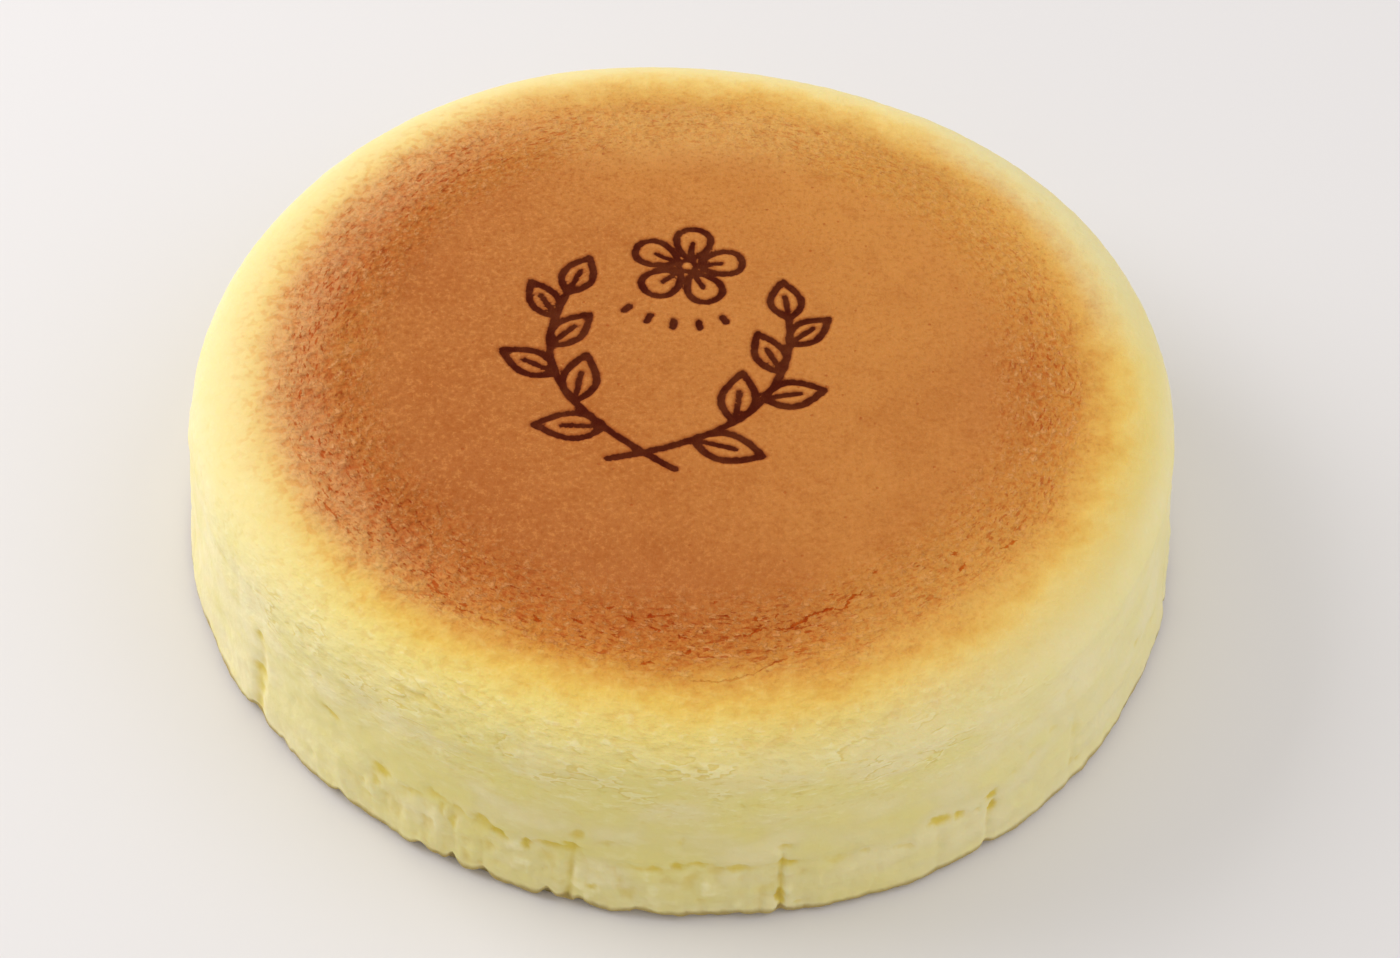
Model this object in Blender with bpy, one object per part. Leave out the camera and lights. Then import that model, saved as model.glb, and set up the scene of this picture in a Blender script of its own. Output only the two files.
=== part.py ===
"""A jiggly cheesecake: one whole souffle cheesecake, baked in a paper-lined round tin and turned out.

The cake is a single closed solid. A profile is spun about +Z, its rings are divided more finely where
the paper has marked the wall, and the surface is then moved to the cake's uneven outline, its slack
top, the lip where the risen shoulder hangs over the wall, the creases of the paper and the torn foot.

Metres, +Z up. The origin is on the table, under the middle of the cake's outline. The front is -Y.
"""

import math

import bmesh
import bpy
from mathutils import Vector, noise

# Driving dimensions.
RADIUS = 0.0760  # mean radius at the foot, the widest place
HEIGHT = 0.0345  # table to the middle of the crust
WALL_LEAN = 0.0027  # the wall is this much narrower at the lip than at the foot
WALL_BELLY = 1.15  # 1 is a straight wall; more keeps the wall's lower half wider

# The shoulder, from the crust's flat out and down to the lip.
SHOULDER_REACH = 0.0118
SHOULDER_DROP = 0.0086
SHOULDER_FULLNESS = 2.4  # 2 is an ellipse; more is squarer
CROWN_FALL = 0.0008  # the crust's fall from its middle to the start of the shoulder

# The foot.
FOOT_ROUND = 0.0014  # rounding where the wall meets the underside
SEAT_INSET = 0.0060  # the flat underside stops this far in from the wall

# How finely the blank is divided.
SEGMENTS = 80
CRUST_RINGS = 4
SHOULDER_RINGS = 7
WALL_RINGS = 10
RIM_REFINED_FROM = 0.78  # rings beyond this share of the radius have twice the segments
WALL_REFINED_BELOW = 0.62  # rings of the wall below this share of the height have twice as many again

# The outline seen from above: waves round the rim as (count, share of the radius, phase in degrees).
OUTLINE_WAVES = ((2, 0.0101, -82.9), (3, 0.0034, 132.1), (4, 0.0054, 107.2), (5, 0.0034, -147.0))

# The slack of the crust, a slow unevenness of its height.
CRUST_SLACK = 0.0005
CRUST_SLACK_SPAN = 0.032

# The lip: the crumpled skin of the shoulder ends in a low ridge over the smooth wall.
LIP_STAND = 0.0005
LIP_BREADTH = 0.0016
LIP_HEIGHTS = ((-180.0, 0.72), (-115.0, 0.75), (-88.0, 0.84), (-50.0, 0.82), (60.0, 0.76), (130.0, 0.80))
LIP_STRENGTHS = ((-180.0, 0.5), (-150.0, 0.8), (-115.0, 1.0), (-85.0, 0.8), (-60.0, 0.3), (60.0, 0.7))

# Creases of the lining paper: (degrees, top as a share of the height, width, depth, lean in degrees).
CREASES = (
    (-144.6, 0.60, 0.0030, 0.0011, 1.5),
    (-123.0, 0.33, 0.0022, 0.0006, 0.4),
    (-114.2, 0.34, 0.0018, 0.0009, 0.3),
    (-110.5, 0.30, 0.0016, 0.0006, -0.4),
    (-101.0, 0.56, 0.0030, 0.0011, 0.6),
    (-78.6, 0.45, 0.0017, 0.0017, 0.0),
    (-61.2, 0.30, 0.0020, 0.0006, 0.4),
    (-54.9, 0.34, 0.0017, 0.0008, 0.5),
    (-41.5, 0.52, 0.0024, 0.0005, -1.0),
    (-14.0, 0.40, 0.0018, 0.0009, 0.6),
    (6.5, 0.30, 0.0022, 0.0007, -0.3),
    (24.0, 0.58, 0.0028, 0.0010, 1.6),
    (47.5, 0.37, 0.0017, 0.0014, 0.0),
    (62.0, 0.33, 0.0021, 0.0007, -0.5),
    (85.0, 0.50, 0.0028, 0.0011, -1.2),
    (103.0, 0.34, 0.0018, 0.0008, 0.3),
    (126.0, 0.42, 0.0017, 0.0014, 0.2),
    (147.5, 0.57, 0.0026, 0.0009, -1.8),
    (168.0, 0.35, 0.0020, 0.0007, 0.4),
    (193.0, 0.46, 0.0020, 0.0009, -0.5),
)

# Small hollows in the wall: (degrees, height as a share, half width, half height, depth).
HOLLOWS = (
    (-131.2, 0.49, 0.0021, 0.0016, 0.0009),
    (-123.8, 0.34, 0.0024, 0.0017, 0.0010),
    (-116.3, 0.36, 0.0026, 0.0014, 0.0008),
    (-109.0, 0.31, 0.0020, 0.0012, 0.0010),
    (-105.2, 0.30, 0.0020, 0.0013, 0.0009),
    (-90.4, 0.63, 0.0016, 0.0016, 0.0004),
    (-60.6, 0.33, 0.0026, 0.0014, 0.0011),
    (33.0, 0.36, 0.0028, 0.0018, 0.0010),
    (112.0, 0.45, 0.0024, 0.0018, 0.0009),
    (158.0, 0.35, 0.0028, 0.0016, 0.0010),
)

# The torn skin: under a wavering line round the wall the surface is scooped, then comes out again.
TEAR_HEIGHT = 0.36
TEAR_WAVER = 0.05
TEAR_SCOOP = 0.0008
TEAR_REACH = 0.0050
TEARS = ((-96.0, 40.0), (58.0, 30.0), (160.0, 24.0))  # middle and half span of each torn stretch, degrees

# Nicks in the foot, where the edge has stayed on the paper: (degrees, half width, height).
NICKS = (
    (-129.5, 0.0017, 0.0015),
    (-118.3, 0.0015, 0.0014),
    (-114.2, 0.0014, 0.0026),
    (-110.5, 0.0014, 0.0017),
    (-103.2, 0.0016, 0.0027),
    (-99.6, 0.0014, 0.0018),
    (-78.6, 0.0015, 0.0030),
    (-54.9, 0.0016, 0.0012),
    (-14.0, 0.0019, 0.0018),
    (47.5, 0.0017, 0.0026),
    (55.0, 0.0019, 0.0016),
    (85.0, 0.0018, 0.0021),
    (126.0, 0.0016, 0.0026),
    (172.0, 0.0019, 0.0018),
)

CAKE_COLOUR = (0.790, 0.560, 0.215, 1.0)


def clear_scene():
    """Removes whatever the file opened with."""
    for obj in list(bpy.data.objects):
        bpy.data.objects.remove(obj, do_unlink=True)


def smooth(value):
    """0 to 1 with level ends."""
    value = min(max(value, 0.0), 1.0)
    return value * value * (3.0 - 2.0 * value)


def bell(offset, half_width):
    """1 at no offset, falling smoothly to almost 0 at two half widths."""
    return math.exp(-((offset / half_width) ** 2))


def arc_between(angle_a, angle_b):
    """The smaller angle from b to a, in degrees and signed."""
    return (angle_a - angle_b + 180.0) % 360.0 - 180.0


def metres_round(angle_a, angle_b):
    """The distance round the wall from b to a, signed."""
    return math.radians(arc_between(angle_a, angle_b)) * RADIUS


def value_round(stops, azimuth):
    """A value that goes smoothly from one (degrees, value) stop to the next and closes on itself."""
    following = [*stops[1:], (stops[0][0] + 360.0, stops[0][1])]
    for (start, before), (end, after) in zip(stops, following):
        for turn in (azimuth, azimuth + 360.0):
            if start <= turn <= end:
                return before + (after - before) * smooth((turn - start) / (end - start))
    return stops[0][1]


def wall_radius(height):
    """The even wall's radius at a height: widest at the foot, leaning in to the lip."""
    share = min(max(height / (HEIGHT - SHOULDER_DROP), 0.0), 1.0)
    return RADIUS - WALL_LEAN * share**WALL_BELLY


def profile():
    """(radius, height) points from the middle of the crust, over the shoulder, down the wall and under."""
    lip_height = HEIGHT - SHOULDER_DROP
    shoulder_start = wall_radius(lip_height) - SHOULDER_REACH
    crust = [
        (shoulder_start * i / CRUST_RINGS, HEIGHT - CROWN_FALL * (i / CRUST_RINGS) ** 2)
        for i in range(CRUST_RINGS)
    ]
    shoulder = []
    for i in range(SHOULDER_RINGS + 1):
        turn = math.pi / 2 * i / SHOULDER_RINGS
        out = max(math.sin(turn), 0.0) ** (2 / SHOULDER_FULLNESS)
        up = max(math.cos(turn), 0.0) ** (2 / SHOULDER_FULLNESS)
        shoulder.append(
            (shoulder_start + SHOULDER_REACH * out, lip_height + (SHOULDER_DROP - CROWN_FALL) * up)
        )
    wall = []
    for i in range(1, WALL_RINGS + 1):
        height = lip_height + (FOOT_ROUND - lip_height) * i / WALL_RINGS
        wall.append((wall_radius(height), height))
    foot = [(RADIUS - FOOT_ROUND * 0.3, FOOT_ROUND * 0.3), (RADIUS - FOOT_ROUND, 0.0)]
    seat = [(RADIUS - SEAT_INSET, 0.0), (0.0, 0.0)]
    return crust + shoulder + wall + foot + seat


def refine_rings(blank, segments, wanted):
    """Halves each ring edge for whose place wanted(radius, height) holds; its ring has `segments` edges."""
    around = []
    for edge in blank.edges:
        a, b = (vert.co for vert in edge.verts)
        level = abs(a.z - b.z) < 1e-6 and abs(a.xy.length - b.xy.length) < 1e-6
        if level and wanted(a.xy.length, a.z):
            around.append(edge)
    made = bmesh.ops.subdivide_edges(blank, edges=around, cuts=1)
    for vert in (item for item in made["geom_inner"] if isinstance(item, bmesh.types.BMVert)):
        vert.co.xy /= math.cos(math.pi / segments)


def turned_blank():
    """The even, round cake that the profile makes when it is spun."""
    blank = bmesh.new()
    verts = [blank.verts.new((radius, 0.0, height)) for radius, height in profile()]
    edges = [blank.edges.new(pair) for pair in zip(verts, verts[1:])]
    bmesh.ops.spin(
        blank,
        geom=verts + edges,
        cent=(0.0, 0.0, 0.0),
        axis=(0.0, 0.0, 1.0),
        angle=math.tau,
        steps=SEGMENTS,
        use_merge=True,
    )
    bmesh.ops.remove_doubles(blank, verts=blank.verts, dist=1e-6)
    foot_ring = RADIUS - FOOT_ROUND - 1e-6
    refine_rings(
        blank,
        SEGMENTS,
        lambda radius, height: radius > (RIM_REFINED_FROM * RADIUS if height > 0.0 else foot_ring),
    )
    refine_rings(
        blank,
        SEGMENTS * 2,
        lambda radius, height: height < WALL_REFINED_BELOW * HEIGHT and radius > foot_ring,
    )
    bmesh.ops.recalc_face_normals(blank, faces=blank.faces)
    return blank


def outline(azimuth):
    """The outline's radius at an azimuth in degrees, as a share of the mean radius."""
    return 1.0 + sum(
        share * math.cos(math.radians(count * azimuth - phase)) for count, share, phase in OUTLINE_WAVES
    )


def lip_stand(azimuth, height):
    """How far the lip stands out of the even wall and shoulder at this place."""
    ridge = value_round(LIP_HEIGHTS, azimuth) * HEIGHT
    return LIP_STAND * value_round(LIP_STRENGTHS, azimuth) * bell(height - ridge, LIP_BREADTH)


def crease_depth(azimuth, height):
    """How deep the paper's creases are at this place on the wall."""
    depth = 0.0
    share = height / HEIGHT
    for foot, top, width, deepest, lean in CREASES:
        fade = smooth((top - share) / (0.35 * top))
        depth += deepest * fade * bell(metres_round(azimuth, foot + lean * share / top), width / 2)
    return depth


def hollow_depth(azimuth, height):
    """How deep the small hollows are at this place on the wall."""
    depth = 0.0
    for middle, share, half_width, half_height, deepest in HOLLOWS:
        across = bell(metres_round(azimuth, middle), half_width)
        depth += deepest * across * bell(height - share * HEIGHT, half_height)
    return depth


def tear_depth(azimuth, height):
    """The scoop under the torn edge of the skin, sharp above and fading out below."""
    way = Vector((math.cos(math.radians(azimuth)), math.sin(math.radians(azimuth)), 0.0))
    waver = noise.noise(way * 5.5) + 0.5 * noise.noise(way * 13.0)
    below = (TEAR_HEIGHT + TEAR_WAVER * waver) * HEIGHT - height
    torn = max(smooth(1.6 - 1.6 * abs(arc_between(azimuth, middle)) / span) for middle, span in TEARS)
    return TEAR_SCOOP * torn * smooth(below / 0.0010) * (1.0 - smooth(below / TEAR_REACH))


def nick_height(azimuth):
    """How far the edge of the foot is lifted off the table."""
    return sum(rise * bell(metres_round(azimuth, middle), half) for middle, half, rise in NICKS)


def shape(cake):
    """Moves the round blank's surface to the real cake's."""
    lip_height = HEIGHT - SHOULDER_DROP
    for vert in cake.verts:
        radius, height = vert.co.xy.length, vert.co.z
        if radius < 1e-6:
            continue
        azimuth = math.degrees(math.atan2(vert.co.y, vert.co.x))
        outer = radius > RADIUS - SEAT_INSET - SHOULDER_REACH and height > 0.0
        if outer:
            radius += lip_stand(azimuth, height)
        if outer and height < lip_height + 1e-6:
            radius -= crease_depth(azimuth, height) + hollow_depth(azimuth, height)
            radius -= tear_depth(azimuth, height)
            height += nick_height(azimuth) * (1.0 - smooth(height / (3.0 * FOOT_ROUND)))
        elif height > lip_height:
            slack = noise.noise(Vector((vert.co.x, vert.co.y, 0.0)) / CRUST_SLACK_SPAN)
            height += CRUST_SLACK * slack * smooth((height - lip_height) / SHOULDER_DROP)
        way = Vector((vert.co.x, vert.co.y, 0.0)).normalized()
        vert.co = way * radius * outline(azimuth) + Vector((0.0, 0.0, height))


def centre_on_table(mesh):
    """Puts the middle of the outline over the origin."""
    for axis in range(2):
        places = [vert.co[axis] for vert in mesh.vertices]
        shift = (min(places) + max(places)) / 2
        for vert in mesh.vertices:
            vert.co[axis] -= shift


def finish(name, colour, roughness):
    """A matt Principled material."""
    material = bpy.data.materials.new(name)
    material.use_nodes = True
    shader = material.node_tree.nodes["Principled BSDF"]
    shader.inputs["Base Color"].default_value = colour
    shader.inputs["Roughness"].default_value = roughness
    shader.inputs["Metallic"].default_value = 0.0
    material.diffuse_color = colour
    return material


def build():
    """Makes the cake's one object."""
    clear_scene()
    blank = turned_blank()
    shape(blank)
    mesh = bpy.data.meshes.new("cheesecake")
    blank.to_mesh(mesh)
    blank.free()
    centre_on_table(mesh)
    mesh.materials.append(finish("souffle_cheesecake", CAKE_COLOUR, 0.65))
    mesh.shade_smooth()
    mesh.set_sharp_from_angle(angle=math.radians(50))
    cake = bpy.data.objects.new("cheesecake", mesh)
    bpy.context.scene.collection.objects.link(cake)


build()
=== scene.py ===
"""The look of the jiggly cheesecake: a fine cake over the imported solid, with its crust, rim and mark."""

import logging
import math
from collections.abc import Callable
from dataclasses import dataclass, field
from enum import Enum

import bmesh
import bpy
import numpy as np
from mathutils import Euler, Matrix, Vector, noise


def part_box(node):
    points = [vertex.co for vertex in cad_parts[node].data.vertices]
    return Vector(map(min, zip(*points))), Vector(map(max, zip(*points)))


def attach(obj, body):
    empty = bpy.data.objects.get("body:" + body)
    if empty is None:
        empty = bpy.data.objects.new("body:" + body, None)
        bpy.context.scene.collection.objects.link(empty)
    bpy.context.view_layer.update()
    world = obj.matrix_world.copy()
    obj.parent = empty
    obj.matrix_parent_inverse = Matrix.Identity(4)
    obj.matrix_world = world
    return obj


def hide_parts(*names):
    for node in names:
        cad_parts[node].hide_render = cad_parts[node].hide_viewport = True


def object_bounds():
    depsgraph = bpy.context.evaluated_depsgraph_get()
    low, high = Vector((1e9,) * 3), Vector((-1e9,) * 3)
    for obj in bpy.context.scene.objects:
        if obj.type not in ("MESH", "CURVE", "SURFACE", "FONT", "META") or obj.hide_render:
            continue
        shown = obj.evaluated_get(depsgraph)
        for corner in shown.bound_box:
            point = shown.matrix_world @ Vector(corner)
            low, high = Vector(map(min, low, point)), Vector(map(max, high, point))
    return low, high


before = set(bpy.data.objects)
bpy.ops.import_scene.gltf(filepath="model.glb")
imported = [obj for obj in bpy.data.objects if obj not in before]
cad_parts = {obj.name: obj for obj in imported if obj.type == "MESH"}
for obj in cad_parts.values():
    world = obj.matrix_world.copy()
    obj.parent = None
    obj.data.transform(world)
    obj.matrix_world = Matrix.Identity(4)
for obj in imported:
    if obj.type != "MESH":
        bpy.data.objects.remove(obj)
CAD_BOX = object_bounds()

LOG = logging.getLogger("cheesecake")
NODE = "cheesecake"
BODY = "root"
MILLIMETRE = 0.001
HAIR = 1e-7  # metres: lengths that differ by less are the same
RADIUS = 0.0760  # of the round cake at its foot

# the mesh's attributes, which the finish reads
NOTES = ("reach", "mark", "recess", "fold", "light", "split", "side", "wide")

Colour = tuple[int, int, int]
Tone = tuple[float, float, float]
Stops = tuple[tuple[float, float], ...]
Pair = tuple[np.ndarray, np.ndarray]


def smooth(value: np.ndarray | float) -> np.ndarray:
    """Runs from 0 to 1 with level ends."""
    value = np.clip(value, 0.0, 1.0)
    return value * value * (3.0 - 2.0 * value)


def eased(value: np.ndarray, start: float, full: float) -> np.ndarray:
    """Runs from 0 at the start to 1 where it is full, with level ends."""
    return smooth((value - start) / (full - start))


def bell(offset: np.ndarray, half_width: float | np.ndarray) -> np.ndarray:
    """Is 1 at no offset and almost 0 at two half widths."""
    return np.exp(-((offset / half_width) ** 2))


def arc_between(angle_a: np.ndarray, angle_b: np.ndarray | float) -> np.ndarray:
    """Gives the smaller angle from b to a, in degrees and signed."""
    return (angle_a - angle_b + 180.0) % 360.0 - 180.0


def value_round(stops: Stops, azimuth: np.ndarray) -> np.ndarray:
    """Goes smoothly from stop to stop round the cake.

    Args:
        stops: (degrees, value) pairs in rising order.
        azimuth: The places asked for, in degrees from -180 to 180.

    Returns:
        The value at each place.
    """
    value = np.full_like(azimuth, stops[0][1])
    following = [*stops[1:], (stops[0][0] + 360.0, stops[0][1])]
    for (start, before), (end, after) in zip(stops, following):
        for turn in (azimuth, azimuth + 360.0):
            inside = (turn >= start) & (turn <= end)
            share = smooth((turn - start) / (end - start))
            value = np.where(inside, before + (after - before) * share, value)
    return value


def axes(heading: float) -> Pair:
    """Gives the unit steps along a heading, in radians from +X, and to its left."""
    way = np.array([math.cos(heading), math.sin(heading)])
    return way, np.array([-way[1], way[0]])


class Grain:
    """Seeded gradient noise over points in space, the same on every run."""

    cells: int = 256  # before the lattice repeats
    gain: float = 1.6
    layer_shift: float = 17.3

    def __init__(self, seed: int) -> None:
        """Draws the lattice's slopes.

        Args:
            seed: The draw's seed.
        """
        draw = np.random.default_rng(seed)
        self.order = np.concatenate([draw.permutation(self.cells)] * 2)
        slopes = draw.normal(size=(self.cells, 3))
        self.slopes = slopes / np.linalg.norm(slopes, axis=1, keepdims=True)

    def __call__(self, points: np.ndarray) -> np.ndarray:
        """Reads the noise.

        Args:
            points: (n, 3) places, one lattice cell to the unit.

        Returns:
            (n,) values, about -1 to 1.
        """
        cell = np.floor(points).astype(int)
        inside = points - cell
        blend = inside**3 * (inside * (inside * 6.0 - 15.0) + 10.0)
        total = np.zeros(len(points))
        for corner in np.ndindex(2, 2, 2):
            step = np.array(corner)
            at = (cell + step) % self.cells
            key = self.order[self.order[self.order[at[:, 0]] + at[:, 1]] + at[:, 2]]
            rise = np.einsum("ij,ij->i", self.slopes[key], inside - step)
            share = np.where(step, blend, 1.0 - blend).prod(axis=1)
            total += rise * share
        return total * self.gain

    def layered(self, points: np.ndarray, layers: int, fade: float = 0.5) -> np.ndarray:
        """Sums finer and weaker layers of the noise.

        Args:
            points: (n, 3) places, one cell of the coarsest layer to the unit.
            layers: How many layers, each twice as fine as the last.
            fade: Each layer's strength over the last one's.

        Returns:
            (n,) values, about -1 to 1.
        """
        total, weight = np.zeros(len(points)), 0.0
        for layer in range(layers):
            total += self(points * 2.0**layer + self.layer_shift * layer) * fade**layer
            weight += fade**layer
        return total / weight


@dataclass(frozen=True)
class Weave:
    """A layered noise on a cylinder round the cake, so that it has no seam."""

    seed: int
    round_size: float  # metres
    up_size: float  # metres
    layers: int
    depth: float = 1.0

    def over(self, azimuth: np.ndarray, across: np.ndarray | float = 0.0) -> np.ndarray:
        """Reads the noise.

        Args:
            azimuth: Degrees.
            across: Height, or the way along the profile, in metres.

        Returns:
            (n,) values, about -1 to 1 times the depth.
        """
        turn = np.radians(azimuth)
        ring = RADIUS / self.round_size
        up = np.broadcast_to(across / self.up_size, turn.shape)
        places = np.stack([np.cos(turn) * ring, np.sin(turn) * ring, up], axis=1)
        return self.depth * Grain(self.seed).layered(places, self.layers)


Weaves = tuple[Weave, Weave]


@dataclass(frozen=True)
class Crease:
    """A groove up the wall where the paper was folded."""

    foot: float  # degrees
    top: float  # share of the height
    width: float
    depth: float
    lean: float  # degrees from foot to top


@dataclass(frozen=True)
class Dent:
    """A small dent or torn spot in the wall."""

    middle: float  # degrees
    share: float  # share of the height
    half_width: float  # millimetres
    half_height: float  # millimetres
    tilt: float  # degrees, with its right end up
    strength: float


@dataclass(frozen=True)
class Split:
    """A crack in the crust, as a line of places."""

    half_width: float
    places: Stops  # degrees and radii from the crust's middle


@dataclass(frozen=True)
class Nick:
    """A place where the foot's edge has stayed on the paper."""

    middle: float  # degrees
    half_width: float
    rise: float


def creases() -> tuple[Crease, ...]:
    """Lists the creases where the solid has them, as deep as the soft crumb has kept them.

    Returns:
        The creases.
    """
    rows = (
        (-144.6, 0.60, 0.0034, 0.0008, 1.5), (-123.0, 0.33, 0.0022, 0.0002, 0.4),
        (-114.2, 0.34, 0.0018, 0.0004, 0.3), (-110.5, 0.30, 0.0016, 0.0003, -0.4),
        (-101.2, 0.38, 0.0017, 0.0007, 1.0), (-78.6, 0.46, 0.0012, 0.0008, 0.1),
        (-61.2, 0.30, 0.0020, 0.0003, 0.4), (-54.9, 0.34, 0.0016, 0.0006, 0.6),
        (-41.5, 0.52, 0.0024, 0.0004, -1.0), (-14.0, 0.40, 0.0018, 0.0007, 0.6),
        (6.5, 0.30, 0.0022, 0.0004, -0.3), (24.0, 0.58, 0.0030, 0.0007, 1.6),
        (47.5, 0.37, 0.0014, 0.0011, 0.0), (62.0, 0.33, 0.0021, 0.0004, -0.5),
        (85.0, 0.50, 0.0028, 0.0007, -1.2), (103.0, 0.34, 0.0018, 0.0005, 0.3),
        (126.0, 0.42, 0.0015, 0.0010, 0.2), (147.5, 0.57, 0.0028, 0.0006, -1.8),
        (168.0, 0.35, 0.0020, 0.0004, 0.4), (-167.0, 0.46, 0.0020, 0.0005, -0.5),
    )
    return tuple(Crease(*row) for row in rows)


def dents() -> tuple[Dent, ...]:
    """Lists the dents and torn spots of the wall's best seen stretch.

    Returns:
        The dents.
    """
    rows = (
        (-157.5, 0.49, 1.6, 1.6, 40, 0.3), (-143.6, 0.555, 1.3, 0.9, 25, 0.6),
        (-144.9, 0.33, 1.2, 1.0, 30, 0.5), (-140.8, 0.885, 0.8, 0.5, 20, 0.4),
        (-137.0, 0.36, 0.7, 0.9, 20, 0.4), (-135.6, 0.28, 0.6, 0.8, 30, 0.3),
        (-134.0, 0.15, 0.9, 0.8, 20, 0.4), (-133.0, 0.65, 1.3, 0.8, 10, 0.4),
        (-131.0, 0.49, 1.9, 0.9, -22, 0.8), (-129.2, 0.84, 1.1, 0.5, 18, 0.4),
        (-127.2, 0.835, 1.1, 0.5, 15, 0.4), (-126.3, 0.24, 1.0, 0.7, 30, 0.5),
        (-124.0, 0.825, 0.9, 0.5, 20, 0.3), (-123.8, 0.35, 2.0, 1.2, 10, 0.9),
        (-124.3, 0.28, 0.7, 1.0, 20, 0.5), (-119.5, 0.335, 1.9, 0.5, 5, 0.35),
        (-118.5, 0.845, 1.0, 0.5, 5, 0.3), (-116.6, 0.385, 2.1, 0.8, 4, 0.6),
        (-114.0, 0.365, 0.9, 0.6, -20, 0.5), (-115.6, 0.31, 0.6, 1.6, 22, 0.5),
        (-114.3, 0.28, 0.7, 1.5, 10, 0.6), (-126.0, 0.655, 2.9, 0.7, 3, 0.25),
        (-116.5, 0.68, 3.0, 0.8, 10, 0.25), (-110.4, 0.84, 0.7, 0.7, 30, 0.4),
        (-109.0, 0.81, 1.3, 0.5, 12, 0.35), (-110.8, 0.365, 1.4, 0.8, -25, 0.7),
        (-109.0, 0.31, 1.2, 0.7, -22, 1.0), (-110.2, 0.59, 1.1, 0.6, 20, 0.25),
        (-105.6, 0.305, 1.2, 1.1, 10, 1.0), (-103.7, 0.335, 1.7, 0.6, 8, 0.55),
        (-102.0, 0.83, 1.5, 0.5, 10, 0.35), (-96.0, 0.84, 1.2, 0.5, 8, 0.4),
        (-97.5, 0.70, 2.4, 0.6, 6, 0.25), (-100.6, 0.365, 1.0, 1.0, 0, 1.0),
        (-100.1, 0.44, 1.1, 1.3, -10, 0.7), (-101.0, 0.55, 1.1, 1.1, 10, 0.3),
        (-98.5, 0.16, 0.9, 0.8, 20, 0.6), (-103.5, 0.185, 0.6, 1.1, 0, 0.6),
        (-96.8, 0.415, 2.3, 0.7, 0, 0.45), (-92.3, 0.30, 2.6, 0.5, 4, 0.5),
        (-89.7, 0.33, 0.9, 0.9, 35, 0.6), (-87.3, 0.34, 2.4, 0.6, -2, 0.55),
        (-83.5, 0.315, 2.6, 0.6, 2, 0.5), (-90.4, 0.635, 1.5, 1.4, 0, 0.35),
        (-89.3, 0.48, 1.0, 1.1, 0, 0.5), (-91.0, 0.87, 1.4, 0.45, 10, 0.5),
        (-88.0, 0.88, 2.0, 0.45, 2, 0.4), (-84.2, 0.73, 1.1, 0.6, 5, 0.4),
        (-85.5, 0.69, 1.2, 0.7, 5, 0.35), (-82.8, 0.67, 0.8, 0.5, 0, 0.5),
        (-79.7, 0.75, 0.9, 0.5, 10, 0.4), (-76.4, 0.845, 2.0, 0.45, 10, 0.45),
        (-81.4, 0.885, 1.9, 0.45, 4, 0.4), (-78.2, 0.425, 1.0, 0.6, 0, 0.7),
        (-77.6, 0.325, 0.9, 0.45, 0, 0.8), (-78.6, 0.11, 0.7, 1.3, 0, 1.0),
        (-76.8, 0.075, 0.7, 0.6, 0, 0.4), (-72.5, 0.295, 2.4, 0.7, 0, 0.45),
        (-69.6, 0.305, 1.3, 0.7, 5, 0.5), (-65.4, 0.255, 3.0, 0.5, -20, 0.5),
        (-61.0, 0.335, 1.9, 1.0, -8, 1.0), (-58.7, 0.325, 1.2, 0.7, -5, 0.8),
        (-61.1, 0.26, 0.8, 1.5, -8, 0.3), (-63.8, 0.78, 0.9, 0.7, -10, 0.5),
        (-62.4, 0.89, 1.1, 0.45, -5, 0.4), (-69.0, 0.89, 2.2, 0.4, 0, 0.3),
        (-56.4, 0.295, 0.9, 0.6, -25, 0.4), (-54.6, 0.345, 1.2, 0.7, 0, 0.9),
        (-54.2, 0.265, 0.7, 1.1, 5, 0.7), (-52.0, 0.395, 1.6, 0.7, 15, 0.4),
        (-48.8, 0.43, 1.4, 0.9, 10, 0.35), (-45.8, 0.49, 1.2, 1.5, 25, 0.45),
        (-51.0, 0.515, 0.6, 0.6, 0, 0.35), (-43.0, 0.635, 1.8, 1.2, 0, 0.35),
        (-56.3, 0.87, 1.3, 0.5, -5, 0.4), (-59.5, 0.835, 1.3, 0.5, -5, 0.4),
        (-42.6, 0.85, 1.2, 0.5, -15, 0.35), (-40.8, 0.12, 1.3, 1.0, -20, 0.4),
    )
    return tuple(Dent(*row) for row in rows)


def more_dents() -> tuple[Dent, ...]:
    """Scatters dents of the same kinds round the rest of the wall, those low on it larger and deeper.

    Returns:
        The dents.
    """
    draw = np.random.default_rng(41)
    found = []
    for azimuth in np.arange(-34.0, 196.0, 2.1):
        low = draw.random() < 0.62
        share = draw.uniform(0.12, 0.45) if low else draw.uniform(0.45, 0.90)
        half_width = draw.uniform(0.7, 2.4)
        half_height = draw.uniform(0.5, 1.3) if low else draw.uniform(0.4, 0.8)
        middle = azimuth + draw.uniform(-1, 1)
        tilt = draw.uniform(-25, 25)
        strength = draw.uniform(0.15, 0.5) if low else draw.uniform(0.15, 0.35)
        found.append(Dent(middle, share, half_width, half_height, tilt, strength))
    return tuple(found)


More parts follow.
